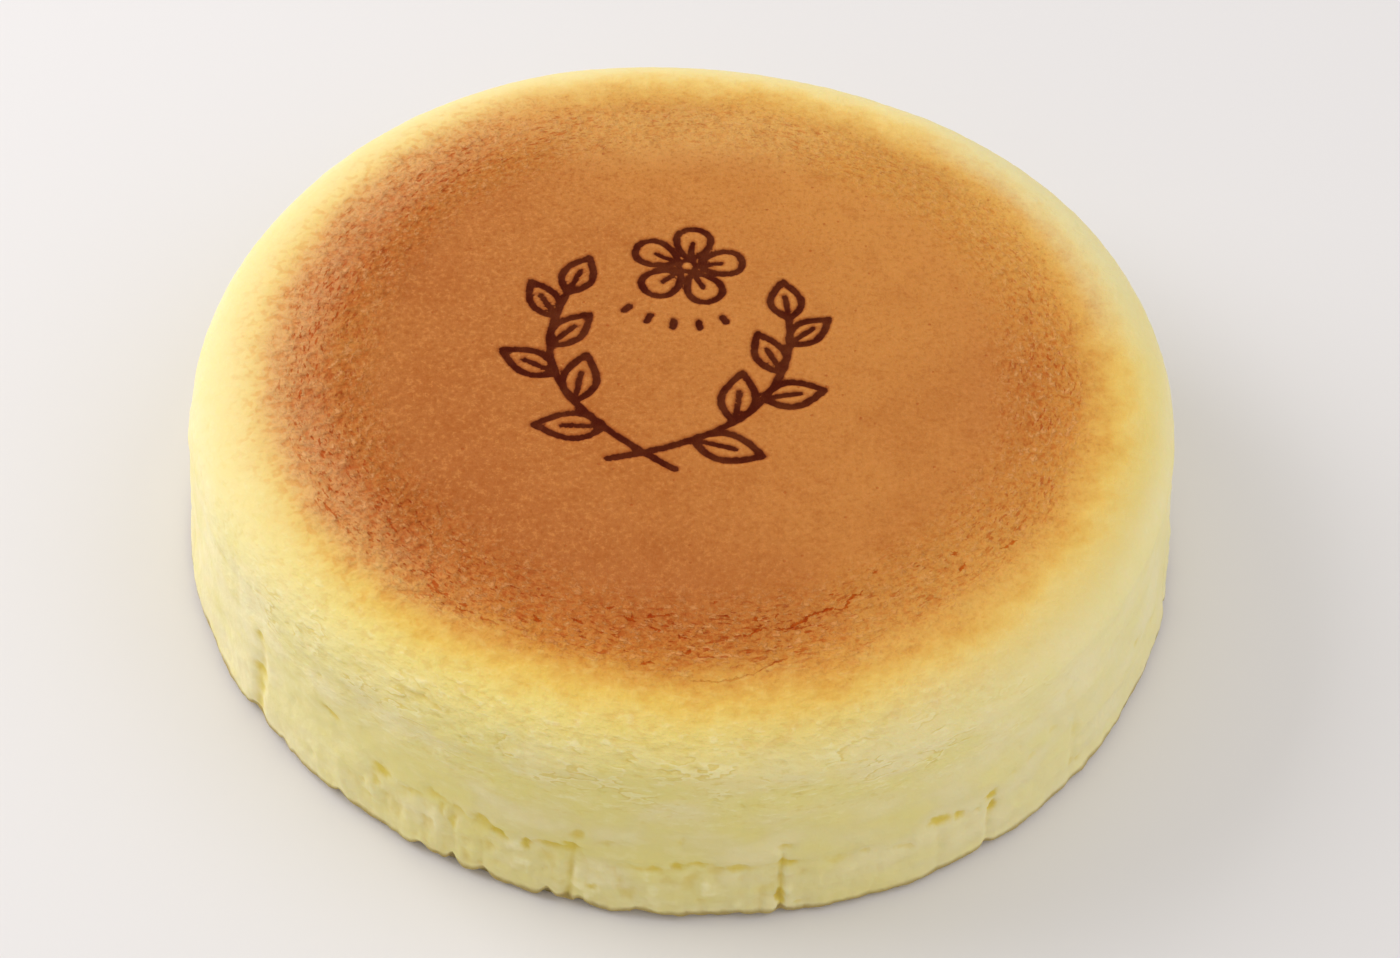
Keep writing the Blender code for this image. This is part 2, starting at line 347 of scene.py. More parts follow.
def nicks() -> tuple[Nick, ...]:
    """Lists the foot's nicks where the solid has them.

    Returns:
        The nicks.
    """
    rows = (
        (-145.0, 0.0016, 0.0012), (-139.2, 0.0012, 0.0012), (-129.6, 0.0012, 0.0015),
        (-118.0, 0.0011, 0.0013), (-114.2, 0.0009, 0.0022), (-110.5, 0.0010, 0.0014),
        (-103.1, 0.0010, 0.0023), (-99.7, 0.0009, 0.0015), (-93.6, 0.0010, 0.0008),
        (-78.6, 0.0006, 0.0005), (-54.9, 0.0010, 0.0008), (-14.0, 0.0012, 0.0014),
        (47.5, 0.0011, 0.0019), (55.0, 0.0012, 0.0012), (85.0, 0.0012, 0.0016), (126.0, 0.0011, 0.0020),
        (172.0, 0.0012, 0.0014),
    )
    return tuple(Nick(*row) for row in rows)


def splits() -> tuple[Split, ...]:
    """Lists the crust's larger cracks: half width in metres, then (degrees, radii) along each.

    Returns:
        The cracks.
    """
    rows = (
        (0.00016, (-80.6, 0.701), (-79.2, 0.698), (-78.1, 0.686), (-77.2, 0.688)),
        (0.00022, (-75.6, 0.691), (-74.6, 0.695), (-73.4, 0.698), (-72.3, 0.691), (-70.8, 0.683),
         (-69.2, 0.677)),
        (0.00016, (-69.2, 0.677), (-68.1, 0.681), (-66.9, 0.676), (-66.0, 0.680)),
        (0.00014, (-66.0, 0.680), (-65.2, 0.686), (-64.4, 0.684), (-63.6, 0.676), (-62.4, 0.668),
         (-60.6, 0.665)),
        (0.00017, (-101.6, 0.664), (-100.7, 0.657), (-100.0, 0.656)),
        (0.00019, (-98.8, 0.672), (-97.6, 0.676), (-96.7, 0.681), (-96.1, 0.677)),
        (0.00016, (-97.6, 0.664), (-97.0, 0.668)),
        (0.00020, (-95.2, 0.665), (-94.4, 0.662), (-93.3, 0.657)),
        (0.00022, (-93.3, 0.657), (-92.2, 0.656), (-91.3, 0.652)),
        (0.00015, (-94.6, 0.686), (-93.4, 0.689), (-92.4, 0.693)),
        (0.00015, (-90.3, 0.700), (-89.9, 0.704), (-89.0, 0.705), (-88.2, 0.709)),
        (0.00018, (-91.6, 0.719), (-90.9, 0.722)),
        (0.00016, (-89.4, 0.734), (-88.2, 0.738)),
        (0.00018, (-87.6, 0.745), (-86.9, 0.741)),
        (0.00018, (-106.0, 0.704), (-105.0, 0.706), (-104.0, 0.705)),
        (0.00015, (-111.3, 0.725), (-110.6, 0.732), (-109.7, 0.731)),
        (0.00016, (-121.3, 0.772), (-120.5, 0.776), (-119.9, 0.772)),
        (0.00014, (-118.2, 0.768), (-117.0, 0.773), (-114.8, 0.772)),
        (0.00018, (-97.6, 0.745), (-97.0, 0.750)),
        (0.00014, (-95.0, 0.770), (-93.0, 0.765)),
        (0.00018, (-78.8, 0.665), (-77.7, 0.663)),
        (0.00014, (-75.3, 0.668), (-74.4, 0.662)),
        (0.00014, (-85.0, 0.622), (-83.5, 0.624)),
        (0.00016, (-83.0, 0.654), (-82.2, 0.656)),
        (0.00015, (-65.8, 0.650), (-64.9, 0.650)),
        (0.00015, (-57.5, 0.640), (-56.3, 0.634)),
        (0.00016, (-51.0, 0.670), (-50.1, 0.674)),
        (0.00015, (-44.8, 0.685), (-43.9, 0.694)),
        (0.00013, (-38.6, 0.742), (-37.3, 0.752), (-35.8, 0.752)),
        (0.00013, (-46.5, 0.724), (-44.5, 0.722)),
        (0.00009, (-88.0, 0.795), (-86.5, 0.797), (-84.6, 0.799), (-83.0, 0.795), (-81.0, 0.786),
         (-79.6, 0.781)),
        (0.00011, (-79.6, 0.781), (-78.4, 0.771), (-77.2, 0.763), (-76.0, 0.762)),
    )
    return tuple(Split(row[0], row[1:]) for row in rows)


class Stroke(Enum):
    """How heavy a line of the burnt-in mark is: half its width, in metres."""

    BOLD = 0.00063
    FINE = 0.00051


@dataclass
class Sprigs:
    """The burnt-in mark: two leafy sprigs that cross under a small blossom, on the crust's middle."""

    centre: tuple[float, float] = (-0.0025, 0.0035)
    turn: float = -8.0  # degrees
    stem_reach: float = 0.0168
    stem_foot: float = -0.0262
    stem_cross: float = 0.0050
    stem_bend: tuple[float, float] = (0.0225, -0.0150)
    stem_top: float = 0.0068
    stem_steps: int = 32
    leaf_length: float = 0.0102
    leaf_width: float = 0.0052
    leaf_bulge: float = 0.85  # below 1 the leaf is widest nearer its root
    leaf_vein: float = 0.6  # share of the length
    leaves: int = 5
    first_leaf: float = 0.24  # share of the stem
    leaf_gap: float = 0.155
    leaf_spread: tuple[float, float] = (-44.0, 42.0)  # degrees: outer and inner leaves
    leaf_shrink: float = 0.05
    tip_size: tuple[float, float] = (0.8, 0.9)
    petals: int = 5
    petal_middle: float = 0.0053
    petal_half: tuple[float, float] = (0.0033, 0.0026)
    petal_egg: float = 0.28
    eye: float = 0.0013
    blossom: tuple[float, float] = (0.0, 0.0158)
    seeds: int = 5
    seed_ring: float = 0.0125
    seed_turn: float = 17.0  # degrees
    seed_length: float = 0.0013
    steps: int = 20
    lines: list[tuple[Stroke, np.ndarray]] = field(default_factory=list)

    def leaf(self, root: np.ndarray, heading: float, length: float, width: float) -> None:
        """Draws one pointed leaf with a short vein.

        Args:
            root: Where the leaf joins its stem.
            heading: The way that it points, in radians from +X.
            length: From root to tip.
            width: At its widest.
        """
        along = np.linspace(0.0, 1.0, self.steps)
        bulge = np.sin(math.pi * along**self.leaf_bulge) * width / 2
        way, side = axes(heading)
        middle = root + np.outer(along * length, way)
        out = np.outer(bulge, side)
        vein = np.linspace(0.0, self.leaf_vein, 3) * length
        self.lines.append((Stroke.BOLD, np.vstack([middle + out, (middle - out)[::-1]])))
        self.lines.append((Stroke.FINE, root + np.outer(vein, way)))

    def sprig(self, side: float) -> None:
        """Draws one sprig that leans out to a side.

        Args:
            side: -1 for the left one, 1 for the right one.
        """
        share = np.linspace(0.0, 1.0, self.stem_steps + 1)
        start = np.array([-side * self.stem_cross, self.stem_foot])
        bend = np.array([side * self.stem_bend[0], self.stem_bend[1]])
        end = np.array([side * self.stem_reach, self.stem_top])
        stem = np.outer((1 - share) ** 2, start) + np.outer(2 * share * (1 - share), bend)
        stem += np.outer(share**2, end)
        self.lines.append((Stroke.BOLD, stem))
        for leaf in range(self.leaves):
            spot = round((self.first_leaf + self.leaf_gap * leaf) * self.stem_steps)
            ahead = stem[spot + 1] - stem[spot]
            spread = math.radians(self.leaf_spread[leaf % 2]) * side
            size = 1.0 - self.leaf_shrink * leaf
            heading = math.atan2(ahead[1], ahead[0]) + spread
            self.leaf(stem[spot], heading, self.leaf_length * size, self.leaf_width * size)
        tip = stem[-1] - stem[-2]
        long, wide = self.tip_size
        self.leaf(stem[-1], math.atan2(tip[1], tip[0]), self.leaf_length * long, self.leaf_width * wide)

    def flower(self) -> None:
        """Draws the blossom: its eye, its petals and a fine line up each petal."""
        middle = np.array(self.blossom)
        turn = np.linspace(0.0, math.tau, self.steps + 1)
        eye = self.eye * np.stack([np.cos(turn), np.sin(turn)], axis=1)
        self.lines.append((Stroke.FINE, middle + eye))
        half_length, half_width = self.petal_half
        for petal in range(self.petals):
            way, side = axes(math.pi / 2 + math.tau * petal / self.petals)
            out = self.petal_middle + half_length * np.cos(turn)
            across = half_width * np.sin(turn) * (1.0 + self.petal_egg * np.cos(turn))
            self.lines.append((Stroke.BOLD, middle + np.outer(out, way) + np.outer(across, side)))
            vein = np.array([self.petal_middle - half_length, self.petal_middle])
            self.lines.append((Stroke.FINE, middle + np.outer(vein, way)))

    def dashes(self) -> None:
        """Draws an arc of short dashes under the blossom."""
        out = np.array([self.seed_ring, self.seed_ring + self.seed_length])
        for seed in range(self.seeds):
            way, _ = axes(math.radians(self.seed_turn * (seed - (self.seeds - 1) / 2) - 90.0))
            self.lines.append((Stroke.BOLD, np.array(self.blossom) + np.outer(out, way)))

    def draw(self) -> None:
        """Draws the whole mark about its own middle."""
        self.lines.clear()
        self.sprig(-1.0)
        self.sprig(1.0)
        self.flower()
        self.dashes()

    def beyond(self, x: np.ndarray, y: np.ndarray) -> np.ndarray:
        """Measures how far places on the crust are outside the nearest line's edge.

        Args:
            x: The places' x.
            y: The places' y.

        Returns:
            Distances in metres, below 0 inside a line.
        """
        self.draw()
        way, side = axes(math.radians(-self.turn))
        places = np.outer(x - self.centre[0], way) + np.outer(y - self.centre[1], side)
        nearest = np.full(len(x), 1.0)
        for weight, line in self.lines:
            for start, end in zip(line, line[1:]):
                run = end - start
                share = np.clip((places - start) @ run / max(run @ run, 1e-12), 0.0, 1.0)
                away = np.linalg.norm(places - start - np.outer(share, run), axis=1)
                nearest = np.minimum(nearest, away - weight.value)
        return nearest


@dataclass
class Cake:
    """The cake's surface: the solid's own form with the fine relief on it."""

    radius: float = RADIUS
    height: float = 0.0345
    wall_lean: float = 0.0027
    wall_belly: float = 1.15
    shoulder_reach: float = 0.0118
    shoulder_drop: float = 0.0086
    shoulder_fullness: float = 2.4
    crown_fall: float = 0.0008
    foot_round: float = 0.0014
    foot_turns: tuple[float, ...] = (0.35, 0.7, 1.0, 1.25, math.pi / 2)
    seat_inset: float = 0.0060
    waves: tuple[tuple[int, float, float], ...] = (
        (2, 0.0101, -82.9), (3, 0.0034, 132.1), (4, 0.0054, 107.2), (5, 0.0034, -147.0),
    )
    segments: int = 160
    middle_ring: float = 0.013  # the segments double beyond this radius
    outer_ring: float = 0.047  # and again beyond this one
    fine_step: float = 0.00058
    crust_step: float = 0.000597
    shoulder_rings: float = 0.9  # to each fine step of its reach and its drop
    torn_side: tuple[float, float] = (-152.0, -32.0)  # degrees: the wall's finest stretch
    torn_above: float = 0.002  # how far it runs up the shoulder
    merge: float = 1e-6
    skin_play: float = 0.00006  # kept free inside the solid's box
    crust_slack: float = 0.0005
    crust_slack_span: float = 0.032
    lip_stand: float = 0.0005
    lip_breadth: float = 0.0019
    lip_under: float = 0.0008
    lip_waver: float = 0.022
    lip_edge: Weave = Weave(31, 0.0060, 1.0, 3)
    lip_heights: Stops = (
        (-180.0, 0.72), (-115.0, 0.75), (-88.0, 0.84), (-50.0, 0.82), (60.0, 0.76), (130.0, 0.80),
    )
    lip_strengths: Stops = (
        (-180.0, 0.5), (-150.0, 0.8), (-115.0, 1.0), (-85.0, 0.8), (-60.0, 0.3), (60.0, 0.7),
    )
    tear_height: float = 0.36
    tear_waver: float = 0.05
    tear_turns: tuple[float, float] = (5.5, 13.0)  # how fine its broad and its small waver are
    tear_scallop: Weave = Weave(24, 0.0034, 1.0, 3, 0.045)
    tear_gaps: Weave = Weave(25, 0.0062, 1.0, 1, 0.9)
    tear_scoop: float = 0.00040
    tear_edge: float = 0.0007
    tear_reach: float = 0.0036
    bare_edge: float = 0.0020
    tears: Stops = ((-96.0, 40.0), (58.0, 30.0), (160.0, 24.0))
    skin_depths: Stops = (
        (-180.0, 0.00016), (-140.0, 0.00024), (-110.0, 0.00036), (-75.0, 0.00034), (-55.0, 0.00018),
        (-30.0, 0.00012), (60.0, 0.00024), (130.0, 0.00020),
    )
    skin_start: tuple[float, float] = (0.80, 0.96)  # of the reach
    skin_end: tuple[float, float] = (-0.02, 0.03)  # shares of the height over the lip's ridge
    skin_valley: float = 0.2  # how near 0 the folds' noise makes a valley
    skin_mix: tuple[float, float, float] = (0.55, 0.35, 0.9)  # folds, crumbs, valleys
    skin_slant: Stops = ((-180.0, 0.5), (-140.0, 0.6), (-112.0, 0.3), (-85.0, 0.0))
    skin_folds: Weave = Weave(3, 0.0036, 0.0014, 3)
    skin_crumbs: Weave = Weave(4, 0.0018, 0.0010, 2)
    skin_patches: Weave = Weave(6, 0.010, 0.006, 2, 1.6)
    warp: Weaves = (Weave(21, 0.0048, 0.0040, 3, 0.0006), Weave(22, 0.0048, 0.0040, 3, 0.00048))
    dent_edge: Weaves = (Weave(26, 0.0017, 0.0014, 2, 0.0009), Weave(27, 0.0017, 0.0014, 2, 0.0009))
    split_edge: Weaves = (Weave(28, 0.0016, 0.0016, 2, 0.00035), Weave(29, 0.0016, 0.0016, 1, 0.00035))
    split_near: tuple[float, float] = (12.0, 0.1)  # degrees and radii: the places that a crack can reach
    far: float = 0.01  # stands for any greater distance
    dent_share: float = 0.00062
    crease_sharpness: float = 0.42
    crease_fade: float = 0.35  # share of its height
    crease_play: Weave = Weave(23, 0.0050, 0.0030, 2, 0.5)
    streaks: Weave = Weave(5, 0.0090, 0.0011, 2, 0.00005)
    softness: Weave = Weave(12, 0.0042, 0.0022, 3, 0.00022)
    swell: Weave = Weave(8, 0.0140, 0.0080, 2, 0.00060)
    flutes: Weave = Weave(7, 0.0030, 0.0085, 3, 0.00045)
    lumps: Weave = Weave(9, 0.0022, 0.0022, 3, 0.00036)
    fold_range: float = 0.0011
    foot_edge: Weave = Weave(11, 0.0024, 1.0, 3)
    foot_ragged: Stops = (
        (-180.0, 0.0004), (-150.0, 0.0008), (-90.0, 0.0010), (-65.0, 0.0004), (-20.0, 0.0003), (40.0, 0.0006),
    )
    bake_round: Stops = (
        (-180.0, 0.25), (-165.0, 0.12), (-140.0, 0.0), (-92.0, 0.0), (-72.0, 0.30), (-60.0, 0.70),
        (-42.0, 0.72), (-28.0, 0.55), (-14.0, 0.38), (0.0, 0.38), (10.0, 0.60), (26.0, 0.86), (60.0, 1.0),
        (100.0, 1.0), (116.0, 0.55), (136.0, 0.22), (160.0, 0.05),
    )
    bake_ring: tuple[float, float] = (0.35, 0.65)  # of the reach
    bake_lightest: float = 25.0  # degrees
    pucker_depth: float = 0.00022
    pucker_size: float = 0.0034
    pucker_start: tuple[float, float] = (0.52, 0.68)  # of the reach
    pucker_end: tuple[float, float] = (0.84, 0.94)
    ripple_depth: float = 0.00016
    ripple_size: tuple[float, float, float] = (0.022, 0.0075, 1.0)
    burn_depth: float = 0.00030
    burn_edge: tuple[float, float] = (-0.0004, 0.0002)
    mark_within: float = 0.045
    underside: float = 1.6  # the reach that stands for the underside

    @property
    def wall_top(self) -> float:
        """Gives the height where the wall ends and the shoulder starts."""
        return self.height - self.shoulder_drop

    def wall_radius(self, height: float) -> float:
        """Gives the even wall's radius at a height."""
        share = min(max(height / self.wall_top, 0.0), 1.0)
        return self.radius - self.wall_lean * share**self.wall_belly

    def profile(self) -> list[tuple[float, float]]:
        """Lists the profile from the crust's middle, over the shoulder, down the wall and under.

        Returns:
            (radius, height) points.
        """
        start = self.wall_radius(self.wall_top) - self.shoulder_reach
        rings = round(start / self.crust_step)
        points = [(start * i / rings, self.height - self.crown_fall * (i / rings) ** 2) for i in range(rings)]
        bends = round(self.shoulder_rings * (self.shoulder_reach + self.shoulder_drop) / self.fine_step)
        for i in range(bends + 1):
            turn = math.pi / 2 * i / bends
            out = max(math.sin(turn), 0.0) ** (2 / self.shoulder_fullness)
            up = max(math.cos(turn), 0.0) ** (2 / self.shoulder_fullness)
            rise = (self.shoulder_drop - self.crown_fall) * up
            points.append((start + self.shoulder_reach * out, self.wall_top + rise))
        steps = round((self.wall_top - self.foot_round) / self.fine_step)
        for i in range(1, steps + 1):
            height = self.wall_top + (self.foot_round - self.wall_top) * i / steps
            points.append((self.wall_radius(height), height))
        for turn in self.foot_turns:
            inwards, down = 1 - math.cos(turn), 1 - math.sin(turn)
            points.append((self.radius - self.foot_round * inwards, self.foot_round * down))
        return points + [(self.radius - self.seat_inset, 0.0), (0.0, 0.0)]

    def refine_rings(self, cake: bmesh.types.BMesh, segments: int, wanted: Callable[[Vector], bool]) -> None:
        """Halves ring edges and puts the new points back on their circle.

        Args:
            cake: The turned cake.
            segments: How many edges each ring has before.
            wanted: Says for an edge's middle whether it is halved.
        """
        around = []
        for edge in cake.edges:
            a, b = (vert.co for vert in edge.verts)
            level = abs(a.z - b.z) < HAIR and abs(a.xy.length - b.xy.length) < HAIR
            if level and wanted((a + b) / 2):
                around.append(edge)
        made = bmesh.ops.subdivide_edges(cake, edges=around, cuts=1)
        for vert in (item for item in made["geom_inner"] if isinstance(item, bmesh.types.BMVert)):
            vert.co.xy /= math.cos(math.pi / segments)

    def turned(self) -> bpy.types.Mesh:
        """Spins the profile and doubles the segments further out.

        Returns:
            The even, round cake.
        """
        cake = bmesh.new()
        verts = [cake.verts.new((radius, 0.0, height)) for radius, height in self.profile()]
        edges = [cake.edges.new(pair) for pair in zip(verts, verts[1:])]
        bmesh.ops.spin(
            cake, geom=verts + edges, cent=(0, 0, 0), axis=(0, 0, 1), angle=math.tau, steps=self.segments,
            use_merge=True,
        )
        bmesh.ops.remove_doubles(cake, verts=cake.verts, dist=self.merge)
        under = self.radius - self.foot_round - 20 * self.merge

        def beyond(ring: float) -> Callable[[Vector], bool]:
            """Makes a test for places outside a ring, and for the underside's edge."""
            return lambda place: place.xy.length > (ring if place.z > 0 else under)

        def on_torn_side(place: Vector) -> bool:
            """Tests for the wall's finest stretch."""
            start, end = self.torn_side
            faces = start < math.degrees(math.atan2(place.y, place.x)) < end
            return faces and place.z < self.wall_top + self.torn_above and beyond(self.outer_ring)(place)

        self.refine_rings(cake, self.segments, beyond(self.middle_ring))
        self.refine_rings(cake, self.segments * 2, beyond(self.outer_ring))
        self.refine_rings(cake, self.segments * 4, on_torn_side)
        bmesh.ops.recalc_face_normals(cake, faces=cake.faces)
        mesh = bpy.data.meshes.new("whole_cheesecake")
        cake.to_mesh(mesh)
        cake.free()
        return mesh

    def outline(self, azimuth: np.ndarray) -> np.ndarray:
        """Gives the outline's radius as a share of the mean one."""
        turns = ((share, np.radians(count * azimuth - phase)) for count, share, phase in self.waves)
        return 1.0 + sum(share * np.cos(turn) for share, turn in turns)

    def metres_round(self, azimuth: np.ndarray, middle: np.ndarray | float) -> np.ndarray:
        """Measures round the wall from a middle, in metres and signed."""
        return np.radians(arc_between(azimuth, middle)) * self.radius

    def strayed(self, azimuth: np.ndarray, across: np.ndarray, weaves: Weaves) -> Pair:
        """Bends places a little, so that nothing on them has a drawn edge.

        Args:
            azimuth: Degrees.
            across: Height, or the way along the profile, in metres.
            weaves: How far they move round the cake and across, in metres.

        Returns:
            The bent azimuth and height or way.
        """
        aside, along = (weave.over(azimuth, across) for weave in weaves)
        return azimuth + np.degrees(aside / self.radius), across + along

    def lip_ridge(self, azimuth: np.ndarray) -> Pair:
        """Gives the lip's waver, and its height as a share of the cake's."""
        waver = self.lip_edge.over(azimuth)
        return waver, value_round(self.lip_heights, azimuth) + self.lip_waver * waver

    def lip(self, azimuth: np.ndarray, height: np.ndarray) -> np.ndarray:
        """Gives how far the skin's rolled lower edge stands out of the even surface.

        Args:
            azimuth: Degrees.
            height: Metres.

        Returns:
            The move outwards, in metres.
        """
        waver, ridge = self.lip_ridge(azimuth)
        strength = value_round(self.lip_strengths, azimuth) * (0.75 + 0.5 * waver)
        above = height - ridge * self.height
        breadth = np.where(above > 0.0, self.lip_breadth, self.lip_under)
        return self.lip_stand * strength * bell(above, breadth)

    def skin(self, azimuth: np.ndarray, height: np.ndarray, arc: np.ndarray) -> np.ndarray:
        """Gives the crumpled skin's relief over the shoulder.

        Args:
            azimuth: Degrees.
            height: Metres.
            arc: The way along the profile from the crust's middle, in metres.

        Returns:
            The relief across the surface, in metres.
        """
        over = eased(height / self.height - self.lip_ridge(azimuth)[1], *self.skin_end)
        outer = eased(arc / self.radius, *self.skin_start)
        slide = azimuth + np.degrees(value_round(self.skin_slant, azimuth) * arc / self.radius)
        fold = self.skin_folds.over(slide, arc)
        patch = smooth(0.5 + self.skin_patches.over(azimuth, arc))
        valley = np.clip(1.0 - np.abs(fold) / self.skin_valley, 0.0, 1.0) ** 2 * (0.35 + 0.65 * patch)
        folds, crumbs, valleys = self.skin_mix
        form = folds * fold + crumbs * self.skin_crumbs.over(slide, arc) - valleys * valley
        return over * outer * value_round(self.skin_depths, azimuth) * form

    def crease_depth(self, azimuth: np.ndarray, height: np.ndarray) -> np.ndarray:
        """Gives how deep the paper's creases are.

        Args:
            azimuth: Degrees.
            height: Metres.

        Returns:
            The depths, in metres.
        """
        depth = np.zeros_like(height)
        share = height / self.height
        for crease in creases():
            fade = smooth((crease.top - share) / (self.crease_fade * crease.top))
            place = crease.foot + crease.lean * share / crease.top
            groove = bell(self.metres_round(azimuth, place), self.crease_sharpness * crease.width)
            depth += crease.depth * fade * groove
        return depth * (0.8 + self.crease_play.over(azimuth, height))

    def dent_depth(self, azimuth: np.ndarray, height: np.ndarray) -> np.ndarray:
        """Gives how deep the small dents are, 1 at the middle of the deepest.

        Args:
            azimuth: Degrees.
            height: Metres.

        Returns:
            The depths.
        """
        depth = np.zeros_like(height)
        azimuth, height = self.strayed(azimuth, height, self.dent_edge)
        for dent in (*dents(), *more_dents()):
            tilt = math.radians(dent.tilt)
            along = self.metres_round(azimuth, dent.middle) / MILLIMETRE
            above = (height - dent.share * self.height) / MILLIMETRE
            across = (along * math.cos(tilt) + above * math.sin(tilt)) / dent.half_width
            up = (above * math.cos(tilt) - along * math.sin(tilt)) / dent.half_height
            depth = np.maximum(depth, dent.strength * np.exp(-(across**2 + up**2)))
        return depth

    def split_lines(self, azimuth: np.ndarray, reach: np.ndarray) -> tuple[np.ndarray, ...]:
        """Measures places against the nearest crack.

        Args:
            azimuth: Degrees.
            reach: Radii from the crust's middle.

        Returns:
            The distance from the crack's line, the same with a sign for its side, and half the crack's
            width there, below 0 past its ends; all in metres.
        """
        away = np.full_like(reach, self.far)
        side, wide = away.copy(), -away
        for split in splits():
            middle, level = split.places[0]
            aside, along = np.abs(arc_between(azimuth, middle)), np.abs(reach - level)
            near = np.flatnonzero((aside < self.split_near[0]) & (along < self.split_near[1]))
            out = reach[near] * self.radius
            here = np.stack([np.radians(arc_between(azimuth[near], middle)) * out, out], axis=1)
            line = np.array([(math.radians(arc_between(a, middle)) * r, r) for a, r in split.places])
            line *= self.radius
            lengths = np.linalg.norm(np.diff(line, axis=0), axis=1)
            done = 0.0
            for start, end, length in zip(line, line[1:], lengths):
                step = (end - start) / length
                along = (here - start) @ step
                nearest = np.outer(np.clip(along, 0.0, length), step)
                distance = np.linalg.norm(here - start - nearest, axis=1)
                across = (here - start) @ np.array([-step[1], step[0]])
                taper = 1.0 - np.abs(2.0 * (done + along) / lengths.sum() - 1.0) ** 3
                closer = distance < away[near]
                places = near[closer]
                away[places] = distance[closer]
                side[places] = (np.sign(across) * distance)[closer]
                wide[places] = split.half_width * np.maximum(taper, -2.0)[closer]
                done += length
        return away, side, wide

    def tear_line(self, azimuth: np.ndarray) -> np.ndarray:
        """Gives the torn skin's edge as a height, with the same waver as the solid's.

        Args:
            azimuth: Degrees.

        Returns:
            The heights, in metres.
        """
        turns = np.linspace(-180.0, 180.0, 1441)
        broad, small = self.tear_turns
        waver = []
        for turn in np.radians(turns):
            way = Vector((math.cos(turn), math.sin(turn), 0.0))
            waver.append(noise.noise(way * broad) + 0.5 * noise.noise(way * small))
        even = self.tear_height + self.tear_waver * np.interp(azimuth, turns, waver)
        return (even + self.tear_scallop.over(azimuth)) * self.height

    def torn(self, azimuth: np.ndarray) -> np.ndarray:
        """Gives how much the skin is torn at an azimuth, 0 to 1."""
        shares = (np.abs(arc_between(azimuth, middle)) / span for middle, span in self.tears)
        return np.max([smooth(1.6 - 1.6 * share) for share in shares], axis=0)

    def lift(self, azimuth: np.ndarray, height: np.ndarray) -> np.ndarray:
        """Gives how far the foot's nicked and ragged edge is lifted.

        Args:
            azimuth: Degrees.
            height: Metres.

        Returns:
            The move upwards, in metres.
        """
        nicked = np.zeros_like(height)
        for nick in nicks():
            nicked += nick.rise * bell(self.metres_round(azimuth, nick.middle), nick.half_width)
        ragged = np.clip(0.25 + self.foot_edge.over(azimuth), 0.0, 1.0)
        fade = 1.0 - smooth(height / (3.0 * self.foot_round))
        return (nicked + value_round(self.foot_ragged, azimuth) * ragged) * fade

    def relief(self, azimuth: np.ndarray, height: np.ndarray, arc: np.ndarray) -> dict[str, np.ndarray]:
        """Works out the wall's relief at each point.

        Args:
            azimuth: Degrees, for each point of the turned cake.
            height: Its height.
            arc: The way along the profile from the crust's middle, in metres.

        Returns:
            "out", the move outwards; "up", the move upwards; "recess", how sunk the wall is, 0 to 1, which
            the finish paints as shade; "fold", the small relief, 0 in its pits and 1 on its ridges, which the
            finish paints as shade and highlight.
        """
        on_wall = ((height < self.wall_top + self.merge) & (height > 0.0)).astype(float)
        bent, moved = self.strayed(azimuth, height, self.warp)
        torn = self.torn(azimuth)
        below = self.tear_line(bent) - moved
        broken = np.clip(0.55 + self.tear_gaps.over(azimuth), 0.05, 1.0)
        hollow = torn * broken * smooth(below / self.tear_edge) * (1.0 - smooth(below / self.tear_reach))
        bare = smooth(below / self.bare_edge) * (0.35 + 0.65 * torn)
        dent = self.dent_depth(bent, moved)
        crease = self.crease_depth(bent, height)
        sunk = crease + self.dent_share * dent + self.tear_scoop * hollow
        rough = bare * (self.flutes.over(bent, height) + self.lumps.over(azimuth, height))
        crumb = self.streaks.over(azimuth, height) + self.softness.over(azimuth, height) + rough
        small = self.skin(azimuth, height, arc) + crumb * on_wall
        swell = self.swell.over(azimuth, height)
        out = self.lip(azimuth, height) * (height > 0.0) + small + (swell - sunk) * on_wall
        # how sunk each place is, which the finish paints as shade in the recesses
        sunk_shade = np.clip(dent + 0.8 * crease / MILLIMETRE + 0.5 * hollow, 0.0, 1.0)
        return {
            "out": out * smooth(height / MILLIMETRE),
            "up": self.lift(azimuth, height) * on_wall,
            "recess": np.where(height > 0.0, sunk_shade, 0.0),
            "fold": np.clip(0.5 + small / self.fold_range, 0.0, 1.0),
        }

    def light_bake(self, azimuth: np.ndarray, reach: np.ndarray, x: np.ndarray, y: np.ndarray) -> np.ndarray:
        """Gives how lightly the crust is baked, 0 where it is deep brown and 1 where it is golden.

        Args:
            azimuth: Degrees.
            reach: The way from the crust's middle, in radii.
            x: The points' x.
            y: The points' y.

        Returns:
            The share of the light baking.
        """
        ring = value_round(self.bake_round, azimuth)
        way, _ = axes(math.radians(self.bake_lightest))
        inner = np.clip(0.45 + 0.9 * (x * way[0] + y * way[1]) / self.radius, 0.0, 1.0)
        return inner + (ring - inner) * eased(reach, *self.bake_ring)

